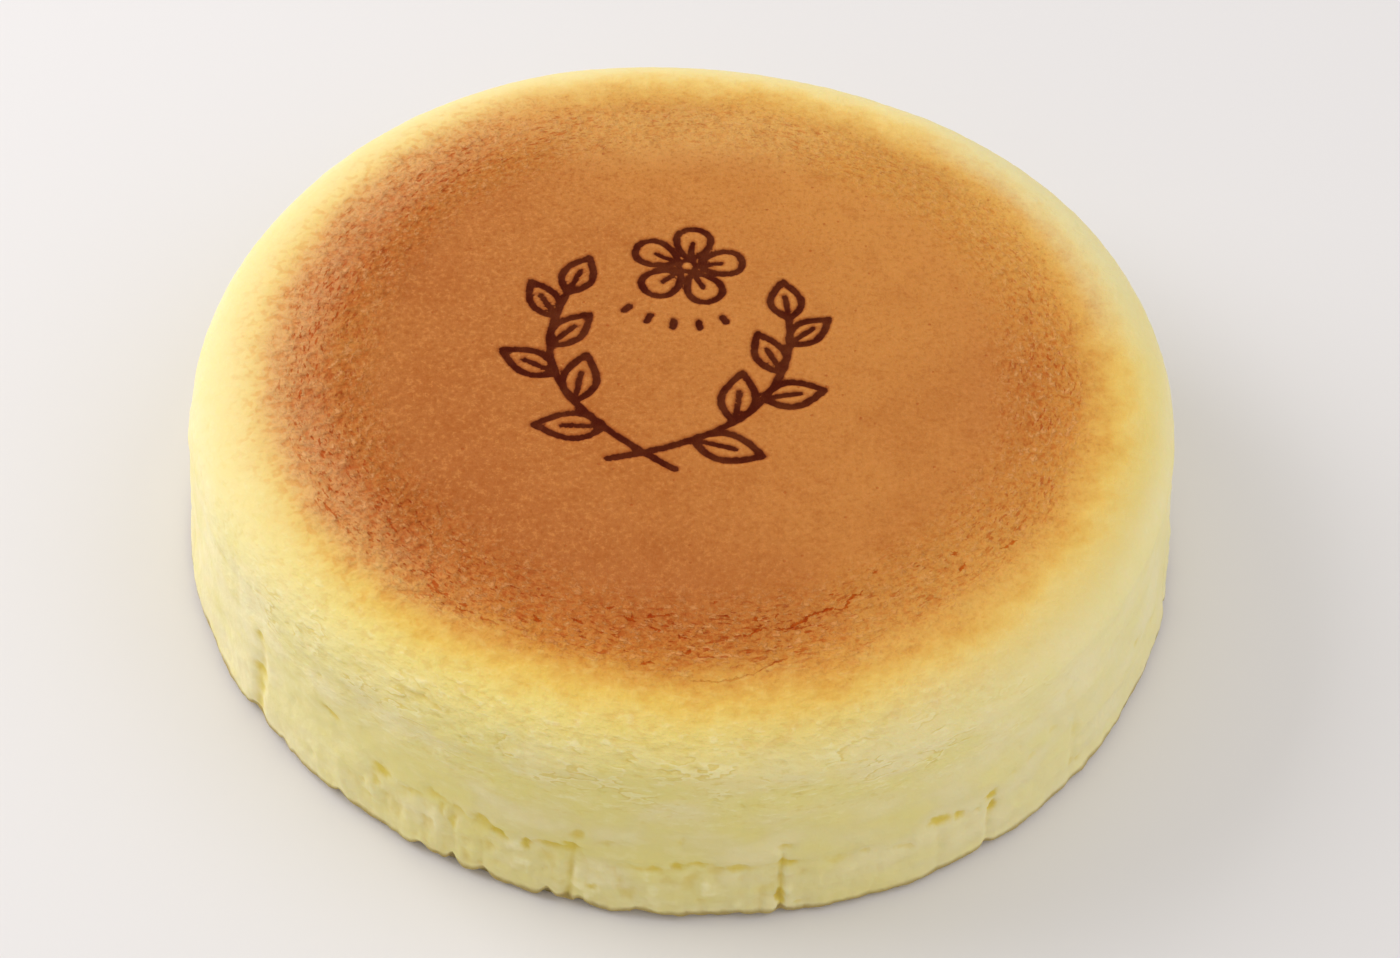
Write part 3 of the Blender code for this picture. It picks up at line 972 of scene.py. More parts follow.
    def crust_height(self, x: np.ndarray, y: np.ndarray, reach: np.ndarray, beyond: np.ndarray) -> Pair:
        """Works out the crust's own unevenness.

        Args:
            x: The points' x.
            y: The points' y.
            reach: The way from the crust's middle, in radii.
            beyond: Their distance outside the burnt-in mark's lines.

        Returns:
            The move upwards, and the small relief's share of it, -1 to 1.
        """
        slack = np.array([noise.noise(Vector((a, b, 0.0)) / self.crust_slack_span) for a, b in zip(x, y)])
        level = np.zeros_like(x)
        ring = eased(reach, *self.pucker_start) * (1.0 - eased(reach, *self.pucker_end))
        pucker = ring * Grain(13).layered(np.stack([x, y * 1.5, level], axis=1) / self.pucker_size, 3)
        tilted = np.stack([0.9 * x + 0.4 * y, 0.9 * y - 0.4 * x, level], axis=1)
        ripple = Grain(15).layered(tilted / np.array(self.ripple_size), 2)
        burn = 1.0 - eased(beyond, *self.burn_edge)
        move = self.crust_slack * slack + self.pucker_depth * pucker + self.ripple_depth * ripple
        return move - self.burn_depth * burn, pucker

    def shape(self, mesh: bpy.types.Mesh, mark: Sprigs) -> None:
        """Moves the turned cake to the real one's surface and notes what the finish needs.

        Args:
            mesh: The turned cake.
            mark: The burnt-in mark.
        """
        count = len(mesh.vertices)
        places = np.empty(count * 3)
        mesh.vertices.foreach_get("co", places)
        places = places.reshape(count, 3)
        x, y, height = places.T.copy()
        radius = np.hypot(x, y)
        azimuth = np.degrees(np.arctan2(y, x))
        reach = self.reach(radius, height)
        arc = reach * self.radius
        relief = self.relief(azimuth, height, arc)
        beyond = np.full(count, 1.0)
        near = (height > self.wall_top) & (radius < self.mark_within)
        beyond[near] = mark.beyond(x[near], y[near])
        top = smooth((height - self.wall_top) / self.shoulder_drop)
        move, pucker = self.crust_height(x, y, reach, beyond)
        jolted, moved = self.strayed(azimuth, arc, self.split_edge)
        split, side, wide = self.split_lines(jolted, moved / self.radius)
        grown = (radius + relief["out"] * (height > 0)) * self.outline(azimuth)
        places[:, :2] *= (grown / np.maximum(radius, 1e-9))[:, None]
        places[:, 2] += np.where(height > 0, relief["up"] + top * move, 0.0)
        self.fit_box(places)
        mesh.vertices.foreach_set("co", places.ravel())
        notes = {
            "reach": reach,
            "mark": np.minimum(beyond, self.far),
            "recess": relief["recess"],
            "fold": np.clip(relief["fold"] + 0.5 * top * pucker, 0.0, 1.0),
            "light": self.light_bake(azimuth, reach, x, y),
            "split": split,
            "side": side,
            "wide": wide,
        }
        for name in NOTES:
            attribute = mesh.attributes.new(name, "FLOAT", "POINT")
            attribute.data.foreach_set("value", notes[name].astype(np.float32))
        mesh.update()

    def reach(self, radius: np.ndarray, height: np.ndarray) -> np.ndarray:
        """Measures the way from the crust's middle, along the profile, in mean radii.

        Args:
            radius: The points' radius on the turned cake.
            height: Their height there.

        Returns:
            0 at the crust's middle, about 1.3 at the foot and 1.5 or more on the underside.
        """
        line = np.array(self.profile())
        way = np.concatenate([[0.0], np.cumsum(np.hypot(*np.diff(line, axis=0).T))]) / self.radius
        lip = np.argmax(line[:, 1] <= self.wall_top + 1e-9)
        foot = np.argmax(line[:, 1] <= 1e-9) + 1
        by_radius = np.interp(radius, line[: lip + 1, 0], way[: lip + 1])
        by_height = np.interp(-height, -line[lip:foot, 1], way[lip:foot])
        reach = np.where(height > self.wall_top + HAIR, by_radius, by_height)
        below = (height <= HAIR) & (radius < self.radius - self.foot_round - 10 * self.merge)
        return np.where(below, self.underside, reach)

    def fit_box(self, places: np.ndarray) -> None:
        """Centres the cake in the solid's box and keeps it inside.

        Args:
            places: (n, 3) points, moved in place.
        """
        low, high = (np.array(corner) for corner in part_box(NODE))
        for axis in range(2):
            lowest, highest = places[:, axis].min(), places[:, axis].max()
            room = high[axis] - low[axis] - 2 * self.skin_play
            places[:, axis] -= (lowest + highest) / 2
            places[:, axis] *= min(1.0, room / (highest - lowest))
            places[:, axis] += (low[axis] + high[axis]) / 2
        top = places[:, 2].max()
        if top > high[2] - self.skin_play:
            places[:, 2] *= (high[2] - self.skin_play) / top

    def build(self, mark: Sprigs) -> bpy.types.Object:
        """Makes the fine cake.

        Args:
            mark: The burnt-in mark.

        Returns:
            The cake's object, at the origin.
        """
        mesh = self.turned()
        self.shape(mesh, mark)
        mesh.shade_smooth()
        cake = bpy.data.objects.new("whole_cheesecake", mesh)
        bpy.context.scene.collection.objects.link(cake)
        return cake


Inputs = dict[str | int, object]


class Wiring:
    """Adds nodes to a material's tree, in rows."""

    def __init__(self, tree: bpy.types.NodeTree) -> None:
        """Keeps the tree."""
        self.tree = tree
        self.count = 0

    def add(self, kind: str, inputs: Inputs | None = None, **settings: object) -> bpy.types.Node:
        """Adds a node.

        Args:
            kind: The node's type name.
            inputs: Socket name or number to a value or to a signal.
            settings: The node's own settings.

        Returns:
            The node.
        """
        node = self.tree.nodes.new(kind)
        node.location = (200 * (self.count % 12) - 2600, -260 * (self.count // 12))
        self.count += 1
        for name, value in settings.items():
            setattr(node, name, value)
        for name, value in (inputs or {}).items():
            if isinstance(value, Signal):
                self.tree.links.new(value.socket, node.inputs[name])
            else:
                node.inputs[name].default_value = value
        return node

    def signal(self, kind: str, inputs: Inputs | None, output: str | int = 0, **settings: object) -> "Signal":
        """Adds a node and gives one of its outputs."""
        return Signal(self, self.add(kind, inputs, **settings).outputs[output])

    def noise(self, where: "Signal", scale: float, detail: float = 2.0, roughness: float = 0.5) -> "Signal":
        """Adds a noise and gives its value."""
        inputs = {"Vector": where, "Scale": scale, "Detail": detail, "Roughness": roughness}
        return self.signal("ShaderNodeTexNoise", inputs, "Fac")

    def mix(self, share: object, first: object, second: object, blend: str = "MIX") -> "Signal":
        """Mixes two colours.

        Args:
            share: How much of the second.
            first: A colour or a signal.
            second: A colour or a signal.
            blend: The name of the way of mixing.

        Returns:
            The mixed colour.
        """
        inputs = {0: share, 6: first, 7: second}
        return self.signal("ShaderNodeMix", inputs, 2, data_type="RGBA", blend_type=blend)

    def ramp(self, value: "Signal", stops: tuple[tuple[float, Tone], ...]) -> "Signal":
        """Adds a colour ramp.

        Args:
            value: 0 to 1.
            stops: (place, linear colour) pairs.

        Returns:
            The colour.
        """
        node = self.add("ShaderNodeValToRGB", {0: value})
        elements = node.color_ramp.elements
        while len(elements) < len(stops):
            elements.new(0.5)
        for element, (place, colour) in zip(elements, stops):
            element.position = place
            element.color = (*colour, 1.0)
        return Signal(self, node.outputs[0])


@dataclass(frozen=True)
class Signal:
    """A value in a material's tree. Sums, differences and products of it add the nodes that they need."""

    wiring: Wiring
    socket: bpy.types.NodeSocket

    def maths(self, operation: str, other: object = 0.0) -> "Signal":
        """Adds a Math node for this value and another."""
        return self.wiring.signal("ShaderNodeMath", {0: self, 1: other}, operation=operation)

    def __add__(self, other: object) -> "Signal":
        """Adds the other."""
        return self.maths("ADD", other)

    def __sub__(self, other: object) -> "Signal":
        """Takes the other away."""
        return self.maths("SUBTRACT", other)

    def __mul__(self, other: object) -> "Signal":
        """Multiplies by the other."""
        return self.maths("MULTIPLY", other)

    def __abs__(self) -> "Signal":
        """Drops the sign."""
        return self.maths("ABSOLUTE")

    def swing(self, size: float) -> "Signal":
        """Makes a noise swing about 0, by the size for the whole of its range."""
        return (self - 0.5) * size

    def span(self, low: float, high: float, to_low: float = 0.0, to_high: float = 1.0) -> "Signal":
        """Maps a range smoothly and clamps it.

        Args:
            low: What becomes to_low.
            high: What becomes to_high.
            to_low: The result at low and before it.
            to_high: The result at high and past it.

        Returns:
            The result.
        """
        inputs = {"Value": self, "From Min": low, "From Max": high, "To Min": to_low, "To Max": to_high}
        return self.wiring.signal("ShaderNodeMapRange", inputs, interpolation_type="SMOOTHSTEP")

    def band(self, start: float, full: float, end: float, fading: float) -> "Signal":
        """Rises from 0 at the start to 1 where it is full, and is back at 0 by its end."""
        return self.span(start, full) * self.span(end, fading)


class CakeWiring(Wiring):
    """The cake's tree: its places, the mesh's attributes, shared noises, and the colour and height so far."""

    def __init__(self, tree: bpy.types.NodeTree) -> None:
        """Adds the nodes that every part of the look uses.

        Args:
            tree: The material's tree.
        """
        super().__init__(tree)
        self.place = self.signal("ShaderNodeTexCoord", None, "Object")
        self.reach, self.mark, self.recess, self.fold, self.light, self.split, self.side, self.wide = (
            self.signal("ShaderNodeAttribute", None, "Fac", attribute_name=name) for name in NOTES
        )
        self.broad = self.noise(self.place, 55.0, 3.0)
        self.middling = self.noise(self.place, 230.0, 4.0, 0.6)
        self.fine = self.noise(self.place, 900.0, 3.0, 0.6)
        self.grain = self.noise(self.place, 1250.0, 3.0, 0.7)
        self.way = self.wavering()
        self.on_crust = self.way.span(0.84, 0.76)
        self.on_wall = self.reach.span(0.90, 1.02)
        self.front = self.towards(-100.0).span(0.45, 0.80)
        self.colour: Signal | None = None
        self.height = self.grain * self.reach.span(0.80, 1.0, 0.00018, 0.00004)
        self.height += self.fine * self.reach.span(0.80, 1.0, 0.00014, 0.00006)
        self.height += self.middling * 0.00030

    def wavering(self) -> Signal:
        """Makes the way along the profile waver, and shifts it in at the rim's right and out at its left.

        Returns:
            The way, in mean radii.
        """
        sway = self.broad.swing(0.05) + self.middling.swing(0.08) + self.fine.swing(0.025)
        way = self.reach + sway * self.reach.band(0.45, 0.70, 1.0, 0.85)
        right = self.reach.band(0.78, 0.84, 0.93, 0.87) * self.towards(30.0).span(-0.55, -0.05)
        left = self.reach.band(0.70, 0.76, 0.88, 0.82) * self.towards(180.0).span(0.35, 0.75)
        return way - right * 0.018 + left * 0.010

    def vector(self, operation: str, first: Signal, second: Tone, output: str | int = 0) -> Signal:
        """Adds a Vector Math node."""
        return self.signal("ShaderNodeVectorMath", {0: first, 1: second}, output, operation=operation)

    def towards(self, azimuth: float) -> Signal:
        """Says how far a place lies on a side: 1 at the rim at the azimuth and -1 at the rim opposite."""
        way = axes(math.radians(azimuth))[0] / RADIUS
        return self.vector("DOT_PRODUCT", self.place, (*way, 0.0), "Value")

    def heading(self, azimuth: float) -> Signal:
        """Says how near a place's own azimuth is to another.

        Args:
            azimuth: The other azimuth, in degrees.

        Returns:
            The cosine of the angle between them.
        """
        flat = self.vector("MULTIPLY", self.place, (1.0, 1.0, 0.0))
        level = self.signal("ShaderNodeVectorMath", {0: flat}, operation="NORMALIZE")
        return self.vector("DOT_PRODUCT", level, (*axes(math.radians(azimuth))[0], 0.0), "Value")

    def unrolled(self, squeeze: float) -> Signal:
        """Places the shoulder on a cylinder whose height is the way down the shoulder, slanted on the left.

        Args:
            squeeze: How much finer than round the cake the noise is down the shoulder.

        Returns:
            The cylinder's coordinates.
        """
        parts = self.add("ShaderNodeSeparateXYZ", {0: self.place}).outputs
        azimuth = Signal(self, parts[1]).maths("ARCTAN2", Signal(self, parts[0]))
        turn = azimuth + (self.reach - 1.0) * self.towards(-165.0).span(0.45, 0.95, 0.0, 0.6)
        inputs = {
            0: turn.maths("COSINE") * RADIUS,
            1: turn.maths("SINE") * RADIUS,
            2: self.reach * (RADIUS * squeeze),
        }
        return self.signal("ShaderNodeCombineXYZ", inputs)

    def tint(self, share: Signal, colour: Colour) -> None:
        """Mixes some of a colour into the colour so far."""
        self.colour = self.mix(share, self.colour, (*linear(*colour), 1.0))

    def tints(self, value: Signal, mask: Signal, *rows: tuple[float, float, float, Colour]) -> None:
        """Tints where a value is within a range.

        Args:
            value: The value, such as a noise.
            mask: Where on the cake.
            rows: For each tint, where its range starts, where it is full, how strong it is, and its colour.
        """
        for start, full, strength, colour in rows:
            self.tint(value.span(start, full) * mask * strength, colour)

    def darken(self, share: Signal, factor: Tone) -> None:
        """Multiplies the colour so far."""
        self.colour = self.mix(share, self.colour, (*factor, 1.0), "MULTIPLY")


def linear(red: int, green: int, blue: int) -> Tone:
    """Turns a colour given in 0 to 255 steps into linear light."""
    shares = (red / 255, green / 255, blue / 255)
    return tuple(c / 12.92 if c <= 0.04045 else ((c + 0.055) / 1.055) ** 2.4 for c in shares)


@dataclass(frozen=True)
class Bake:
    """How one side of the cake has browned: colours from the crust's middle out to the wall."""

    stops: tuple[tuple[float, Colour], ...]
    full_way: float = 1.4

    def colour(self, w: CakeWiring) -> Signal:
        """Gives the colour along the way from the crust's middle."""
        stops = tuple((place / self.full_way, linear(*colour)) for place, colour in self.stops)
        return w.ramp(w.way * (1 / self.full_way), stops)


DEEP_BAKE = Bake((
    (0.00, (184, 111, 54)), (0.58, (181, 107, 52)), (0.70, (195, 117, 51)), (0.74, (205, 130, 55)),
    (0.77, (213, 146, 62)), (0.80, (222, 165, 74)), (0.85, (232, 193, 94)), (0.90, (235, 213, 126)),
    (0.97, (238, 222, 150)), (1.10, (232, 218, 150)), (1.35, (229, 217, 154)),
))
LIGHT_BAKE = Bake((
    (0.00, (202, 134, 64)), (0.58, (205, 138, 67)), (0.66, (210, 148, 69)), (0.76, (220, 164, 80)),
    (0.80, (228, 179, 93)), (0.835, (237, 200, 116)), (0.87, (240, 217, 146)), (0.92, (240, 222, 159)),
    (0.97, (238, 222, 162)), (1.10, (234, 220, 160)), (1.35, (231, 219, 160)),
))


@dataclass(frozen=True)
class SideTint:
    """A tint on one side of the cake, over a part of the way along the profile."""

    colour: Colour
    strength: float
    azimuth: float  # degrees
    rise: tuple[float, float]  # of the reach
    fall: tuple[float, float] | None = None
    facing: tuple[float, float] | None = None  # of the place towards the azimuth
    lobe: tuple[float, float] | None = None  # of the heading alone

    def put(self, w: CakeWiring) -> None:
        """Adds the tint.

        Args:
            w: The cake's wiring.
        """
        mask = w.reach.span(*self.rise)
        if self.fall:
            mask *= w.reach.span(*self.fall)
        if self.facing:
            mask *= w.towards(self.azimuth).span(*self.facing)
        if self.lobe:
            mask *= w.heading(self.azimuth).span(*self.lobe)
        w.tint(mask * self.strength, self.colour)


# The first two rows are painted light on the left, where the window light falls at a graze: a paler shoulder
# and a pinkish sheen inside it. The others only change the tone: lighter golden crust at the back, amber and
# greyer golden bands on the right, a darker olive upper wall in front.
SIDE_TINTS_AND_PAINTED_LIGHT = (
    SideTint((250, 233, 184), 0.38, 165.0, (0.77, 0.89), facing=(0.25, 0.80)),
    SideTint((230, 174, 134), 0.42, 175.0, (0.66, 0.77), (0.86, 0.79), facing=(0.15, 0.75)),
    SideTint((235, 190, 120), 0.26, 90.0, (0.80, 0.72), facing=(0.50, 0.66), lobe=(0.82, 0.99)),
    SideTint((208, 162, 40), 0.16, -45.0, (0.79, 0.85), (0.96, 0.91), lobe=(0.55, 0.95)),
    SideTint((205, 215, 190), 0.22, 30.0, (0.79, 0.85), (0.96, 0.91), lobe=(0.87, 0.98)),
    SideTint((130, 118, 70), 0.07, -75.0, (1.04, 1.18), lobe=(0.60, 0.95)),
)


@dataclass(frozen=True)
class CakeFinish:
    """The baked look: brown crust, golden shoulder, cream wall, burnt mark, with painted shade and highlight
    on the small relief and painted light on the lamp-facing sides.
    """

    shade: Colour = (166, 88, 32)
    gleam: Colour = (214, 142, 76)
    deepen: Tone = (0.76, 0.38, 0.18)
    # warm painted shade in the hollows between the crust's lumps
    hollow_shade_tone: Tone = (0.90, 0.66, 0.46)
    dip: Colour = (176, 80, 24)
    crack: Tone = (0.80, 0.38, 0.10)
    # paler crumb on the raised flakes, partly painted highlight on their lit tops
    pale_crumb_and_highlight: Colour = (236, 172, 112)
    # painted highlight on the golden lumps' crests
    sunlit: Colour = (250, 226, 140)
    # amber painted shade between the golden lumps
    amber_lump_shade: Colour = (206, 132, 36)
    fresh: Colour = (231, 218, 134)
    cream: Colour = (237, 224, 172)
    # painted light on the wall's lamp-facing sides
    pale_side_light: Colour = (237, 229, 192)
    # deep yellow painted shade in the wall's dents, creases and torn hollows
    recess: Colour = (222, 198, 84)
    # deeper yellow painted shade in the pits of folds, crumbs and ledges
    pit_shade: Colour = (218, 190, 84)
    # pale cream: painted highlight on the ridges of folds, crumbs and ledges, and a plain paler tone in the
    # wall's mottling
    ridge: Colour = (250, 242, 196)
    # olive-brown foot line: painted contact shadow, with some browning of the foot's edge
    foot: Colour = (158, 134, 76)
    burnt: Colour = (70, 14, 2)
    scorched: Colour = (136, 52, 16)
    flake_height: float = 0.00017
    crack_depth: float = 0.00008
    split_depth: float = 0.00012
    pore_depth: float = 0.00010
    mottle_height: float = 0.00012
    crumb_height: float = 0.00045
    lump_height: float = 0.00030
    ledge_height: float = 0.00010
    roughness: tuple[float, float] = (0.55, 0.68)
    bump: float = 0.9
    specular: float = 0.04
    scatter: float = 0.22
    scatter_tone: Tone = (1.0, 0.62, 0.25)
    scatter_depth: float = 0.004

    def brown(self, w: CakeWiring) -> None:
        """Lays the browning from the crust's middle out to the wall, with its side tints, two of them painted
        light on the left, and its mottling.

        Args:
            w: The cake's wiring.
        """
        w.colour = w.mix(w.light, DEEP_BAKE.colour(w), LIGHT_BAKE.colour(w))
        for side in SIDE_TINTS_AND_PAINTED_LIGHT:
            side.put(w)
        w.tints(w.broad, w.on_crust, (0.42, 0.70, 0.22, self.shade))
        w.tints(w.middling, w.on_crust, (0.50, 0.72, 0.22, self.shade))
        speckled = w.on_crust * w.towards(0.0).span(-0.4, 0.4, 0.50, 0.32)
        w.tints(w.grain, speckled, (0.50, 0.68, 1.0, self.shade), (0.50, 0.32, 1.0, self.gleam))

    def cracked_ring(self, w: CakeWiring) -> None:
        """Adds the crust's lumpy ring: cracks and dips, paler flakes between them with some painted
        highlight, and painted shade in the hollows between lumps.

        Args:
            w: The cake's wiring.
        """
        left = w.towards(180.0).span(0.25, 0.60)
        outer = w.way - left * 0.035
        strength = w.way.span(0.55, 0.69) * outer.span(0.82, 0.73) * w.light.span(0.2, 0.9, 1.0, 0.55)
        flaky = w.noise(w.unrolled(2.2), 640.0, 3.0, 0.6)
        flakes = flaky.span(0.53, 0.64) * strength
        dips = flaky.span(0.48, 0.36) * left.span(0.0, 1.0, 0.55, 0.45)
        strokes = w.noise(w.unrolled(4.4), 420.0, 2.5, 0.62).span(0.445, 0.355)
        strokes *= w.noise(w.place, 170.0, 1.0).span(0.34, 0.54) * outer.span(0.84, 0.75)
        dark = dips.maths("MAXIMUM", strokes) * strength
        lumps = w.noise(w.place, 720.0, 1.2, 0.5)
        lumpy = w.way.span(0.56, 0.68) * left.span(0.0, 1.0, 0.45, 1.0)
        # painted shade: the lows of the lumps' noise, which the bump also sinks, are darkened warm
        hollow_shade = lumps.span(0.50, 0.36) * lumpy * outer.span(0.87, 0.78)
        # the raised flakes are tinted paler: partly their own paler crumb, partly painted highlight
        w.tint(flakes * w.towards(-90.0).span(0.3, 0.6, 0.44, 0.34), self.pale_crumb_and_highlight)
        w.darken(dark, self.deepen)
        w.darken(hollow_shade * 0.60, self.hollow_shade_tone)
        raised = flakes + lumps * lumpy * outer.span(0.84, 0.74) * 8.0
        w.height += raised * self.flake_height
        w.height -= dark * self.crack_depth

    def splits_and_pores(self, w: CakeWiring) -> None:
        """Adds the crust's larger cracks along the mesh's lines, and scattered pores.

        Args:
            w: The cake's wiring.
        """
        off_line = abs(w.side + w.fine.swing(0.0013))
        width = w.wide + w.grain.swing(0.0006)
        cut = (off_line - width).span(0.00012, -0.00006) * w.split.span(0.00070, 0.00048)
        w.darken(cut * w.way.span(0.80, 0.75, 0.40, 1.0), self.crack)
        w.height -= cut * self.split_depth
        holes = w.add("ShaderNodeTexVoronoi", {"Vector": w.place, "Scale": 460.0}, feature="F1").outputs
        chosen = w.signal("ShaderNodeSeparateColor", {0: Signal(w, holes["Color"])}).span(0.62, 0.66)
        pore = Signal(w, holes["Distance"]).span(0.13, 0.06) * chosen * w.on_crust
        w.tint(pore * 0.50, self.dip)
        w.height -= pore * self.pore_depth

    def wall(self, w: CakeWiring) -> None:
        """Adds the wall's patches and mottling, and painted light that makes it paler at the sides that face
        the lamps.

        Args:
            w: The cake's wiring.
        """
        drawn = w.vector("MULTIPLY", w.place, (1.0, 1.0, 1.8))
        patch = w.noise(drawn, 85.0, 1.5, 0.5)
        mottle = w.noise(drawn, 300.0, 3.0, 0.50)
        rough = w.on_wall * w.towards(-20.0).span(0.25, 0.75, 1.0, 0.10)
        w.tints(patch, w.on_wall, (0.42, 0.64, 0.60, self.fresh), (0.50, 0.34, 0.55, self.cream))
        w.tint(w.reach.span(1.20, 1.29) * 0.22, self.cream)
        # painted light: the wall's left and right sides, facing the window and the fill, are paler
        w.tints(abs(w.towards(0.0)), w.on_wall, (0.30, 0.85, 0.30, self.pale_side_light))
        w.tints(mottle, rough, (0.50, 0.70, 0.24, self.fresh), (0.50, 0.32, 0.14, self.ridge))
        w.height += mottle * rough * self.mottle_height

    def shoulder(self, w: CakeWiring) -> None:
        """Adds the shoulder's crumbs and its golden lumps, with painted shade in their lows and painted
        highlight on their crests.

        Args:
            w: The cake's wiring.
        """
        skin = w.noise(w.unrolled(2.4), 420.0, 3.0, 0.55)
        on_skin = w.reach.band(0.83, 0.93, 1.16, 1.06) * w.towards(-105.0).span(0.30, 0.95, 0.10, 0.80)
        # painted shade in the crumbs' pits and painted highlight on their ridges, where the same noise raises
        # the bump
        w.tints(skin, on_skin, (0.44, 0.30, 0.36, self.pit_shade), (0.56, 0.70, 0.40, self.ridge))
        w.height += skin * on_skin * self.crumb_height
        soft = w.noise(w.unrolled(1.8), 400.0, 2.0, 0.55)
        golden = w.front * w.reach.band(0.73, 0.80, 0.99, 0.90)
        # painted shade in the lumps' lows and painted highlight on their crests
        w.tints(soft, golden, (0.48, 0.34, 0.17, self.amber_lump_shade), (0.52, 0.68, 0.16, self.sunlit))
        w.height += soft * golden * self.lump_height

    def ledges(self, w: CakeWiring) -> None:
        """Adds the small torn ledges in front, under the shoulder: a lit crest over a shaded edge.

        Args:
            w: The cake's wiring.
        """
        flowing = w.noise(w.unrolled(3.0), 170.0, 2.5, 0.60) + w.fine.swing(0.06)
        torn = w.noise(w.place, 210.0, 1.0).span(0.46, 0.62)
        shelf = w.reach.band(0.91, 0.97, 1.10, 1.03) * torn * w.front
        # painted shade on each ledge's edge and painted highlight on its crest
        w.tint(flowing.band(0.475, 0.500, 0.560, 0.510) * shelf * 0.45, self.pit_shade)
        w.tint(flowing.band(0.400, 0.450, 0.495, 0.475) * shelf * 0.32, self.ridge)
        w.height += flowing.span(0.56, 0.43) * shelf * self.ledge_height

    def relief(self, w: CakeWiring) -> None:
        """Colours the mesh's own folds, dents and foot: painted shade in the folds' pits and highlight on
        their ridges, painted shade in the dents, creases and torn hollows, and a painted contact shadow, with
        some browning, along the foot.

        Args:
            w: The cake's wiring.
        """
        folded = w.reach.span(0.82, 0.94) * w.towards(-20.0).span(0.25, 0.75, 1.0, 0.40)
        # painted shade in the folds' pits and painted highlight on their ridges
        w.tints(w.fold, folded, (0.48, 0.12, 0.55, self.pit_shade), (0.54, 0.90, 0.70, self.ridge))
        # painted shade: the mesh's sunk places are tinted deeper yellow
        w.tints(w.recess + w.middling.swing(0.7), w.on_wall, (0.15, 0.80, 0.90, self.recess))
        # painted contact shadow along the foot, with some browning of its edge
        w.tint((w.reach + w.middling * 0.012).span(1.341, 1.356) * 0.80, self.foot)

    def burn(self, w: CakeWiring) -> None:
        """Burns the mark in, with a scorched edge.

        Args:
            w: The cake's wiring.
        """
        line = w.mark + w.noise(w.place, 850.0, 3.0).swing(0.0005)
        w.tint(line.span(0.00042, -0.0001) * 0.60, self.scorched)
        w.tint(line.span(0.00006, -0.00016) * w.middling.span(0.35, 0.65, 0.84, 0.97), self.burnt)

    def build(self) -> bpy.types.Material:
        """Makes the material.

        Returns:
            The material.
        """
        material = bpy.data.materials.new("baked_cheesecake")
        material.use_nodes = True
        w = CakeWiring(material.node_tree)
        self.brown(w)
        self.cracked_ring(w)
        self.splits_and_pores(w)
        self.wall(w)
        self.shoulder(w)
        self.ledges(w)
        self.relief(w)
        self.burn(w)
        shader = material.node_tree.nodes["Principled BSDF"]
        bump = w.signal("ShaderNodeBump", {"Height": w.height, "Distance": 1.0, "Strength": self.bump})
        roughness = w.middling.span(0.3, 0.7, *self.roughness)
        for name, signal in (("Base Color", w.colour), ("Normal", bump), ("Roughness", roughness)):
            material.node_tree.links.new(signal.socket, shader.inputs[name])
        shader.inputs["Specular IOR Level"].default_value = self.specular
        shader.inputs["Subsurface Weight"].default_value = self.scatter
        shader.inputs["Subsurface Radius"].default_value = self.scatter_tone
        shader.inputs["Subsurface Scale"].default_value = self.scatter_depth
        return material


@dataclass(frozen=True)
class TableFinish:
    """The pale surface that the cake stands on."""

    colour: Colour = (230, 227, 226)
    roughness: float = 0.7

    def build(self) -> bpy.types.Material:
        """Makes the material.

        Returns:
            The material.
        """
        material = bpy.data.materials.new("pale_table")
        material.use_nodes = True
        shader = material.node_tree.nodes["Principled BSDF"]
        shader.inputs["Base Color"].default_value = (*linear(*self.colour), 1.0)
        shader.inputs["Roughness"].default_value = self.roughness
        return material


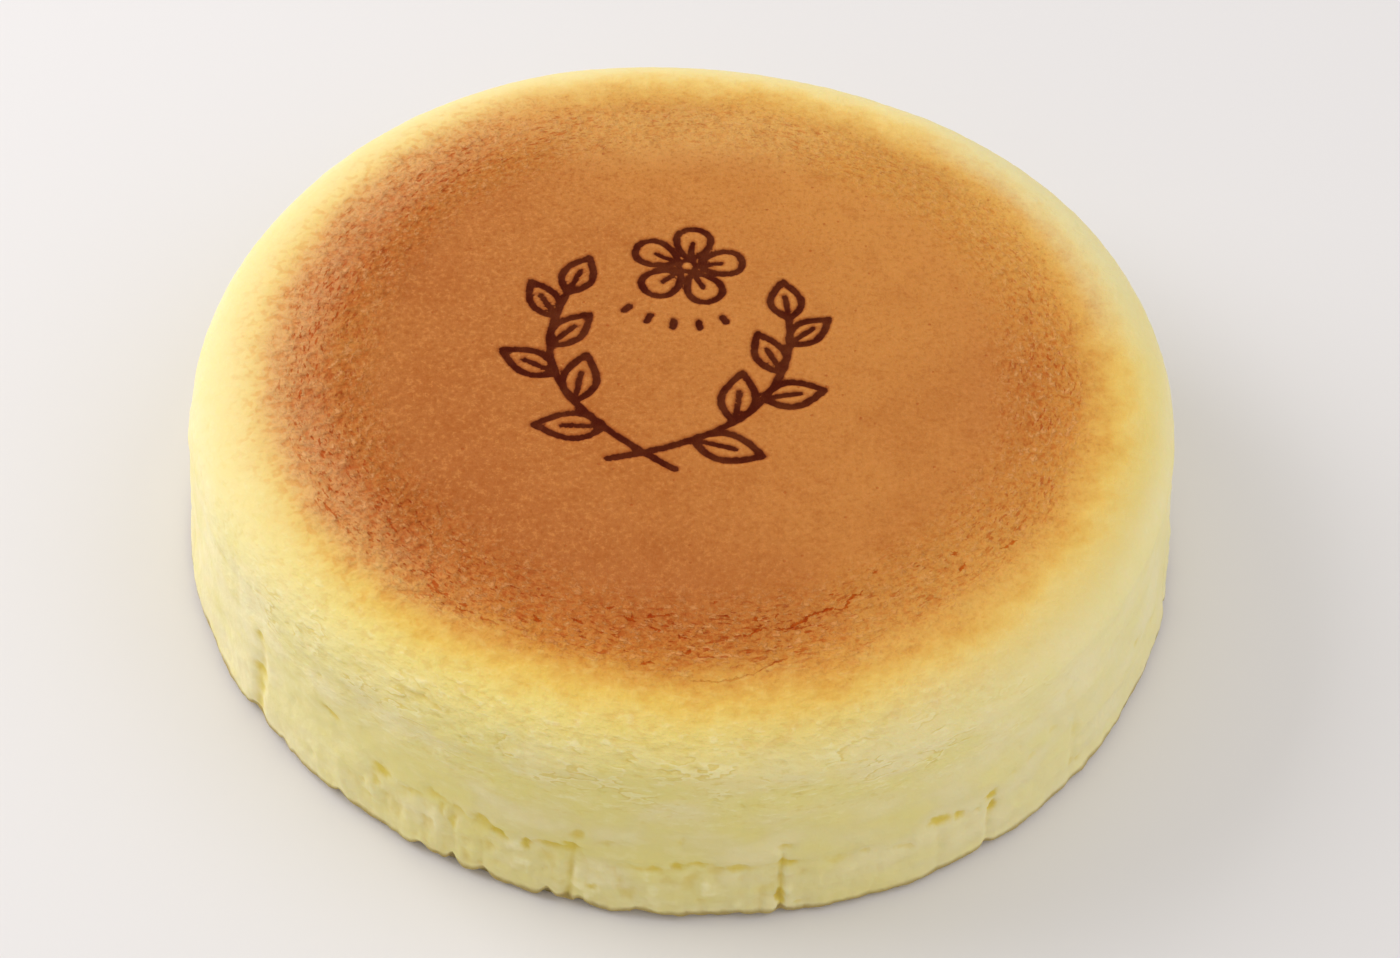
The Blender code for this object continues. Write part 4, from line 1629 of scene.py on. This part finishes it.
@dataclass
class Studio:
    """The pale floor, the soft lights and the camera."""

    focal_share: float = 27 / 14  # focal length over the picture's width
    sensor: float = 36.0
    elevation: float = 46.63  # degrees
    distance: float = 0.41073
    roll: float = 1.741
    aim_height: float = 0.017356
    shift: tuple[float, float] = (0.01352, -0.03219)
    nearest: float = 0.01
    floor_half: float = 3.0
    floor_gap: float = 0.0001
    surround: Tone = (0.995, 0.98, 0.975)
    surround_power: float = 0.62

    def floor(self) -> None:
        """Lays the floor just under the cake."""
        table = bmesh.new()
        bmesh.ops.create_grid(table, x_segments=1, y_segments=1, size=self.floor_half)
        mesh = bpy.data.meshes.new("table")
        table.to_mesh(mesh)
        table.free()
        mesh.transform(Matrix.Translation((0.0, 0.0, CAD_BOX[0][2] - self.floor_gap)))
        mesh.materials.append(TableFinish().build())
        floor = bpy.data.objects.new("table", mesh)
        bpy.context.scene.collection.objects.link(floor)

    def lamp(self, name: str, place: Tone, size: float, power: float, colour: Tone = (1.0, 1.0, 1.0)) -> None:
        """Hangs a square soft light that faces the cake.

        Args:
            name: The light's name.
            place: Where it hangs, in metres.
            size: Its side, in metres.
            power: Its watts.
            colour: Its linear colour.
        """
        light = bpy.data.lights.new(name, "AREA")
        light.shape = "SQUARE"
        light.size = size
        light.energy = power
        light.color = colour
        lamp = bpy.data.objects.new(name, light)
        lamp.location = place
        lamp.rotation_euler = Vector(place).to_track_quat("Z", "Y").to_euler()
        bpy.context.scene.collection.objects.link(lamp)

    def lights(self) -> None:
        """Sets the soft light: bright from the far left, weak from the right, and an even surround."""
        self.lamp("window", (-0.85, 0.34, 0.56), 0.8, 7.6, (0.99, 0.985, 0.99))
        self.lamp("fill", (0.9, -0.2, 0.9), 1.2, 4.6)
        world = bpy.data.worlds.new("surround")
        bpy.context.scene.world = world
        world.use_nodes = True
        background = world.node_tree.nodes["Background"]
        background.inputs["Color"].default_value = (*self.surround, 1.0)
        background.inputs["Strength"].default_value = self.surround_power

    def camera(self) -> None:
        """Puts the camera in front of the cake, looking down on it."""
        lens = bpy.data.cameras.new("camera")
        lens.sensor_width = self.sensor
        lens.lens = self.sensor * self.focal_share
        lens.shift_x, lens.shift_y = self.shift
        lens.clip_start = self.nearest
        camera = bpy.data.objects.new("camera", lens)
        up = math.radians(self.elevation)
        camera.location = (0.0, -self.distance * math.cos(up), self.aim_height + self.distance * math.sin(up))
        look = Euler((math.pi / 2 - up, 0.0, 0.0)).to_matrix()
        camera.rotation_euler = (look @ Matrix.Rotation(math.radians(self.roll), 3, "Z")).to_euler()
        bpy.context.scene.collection.objects.link(camera)
        bpy.context.scene.camera = camera

    def build(self) -> None:
        """Sets the whole stage."""
        self.floor()
        self.lights()
        self.camera()
        bpy.context.scene.view_settings.view_transform = "Standard"


def main() -> None:
    """Builds the cake and its stage."""
    logging.basicConfig(level=logging.INFO, format="%(name)s: %(message)s")
    cake = Cake().build(Sprigs())
    cake.data.materials.append(CakeFinish().build())
    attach(cake, BODY)
    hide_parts(NODE)
    triangles = sum(len(face.vertices) - 2 for face in cake.data.polygons)
    LOG.info("%s: %d triangles", cake.name, triangles)
    Studio().build()
    LOG.info("stage and camera set")


if __name__ == "__main__":
    main()
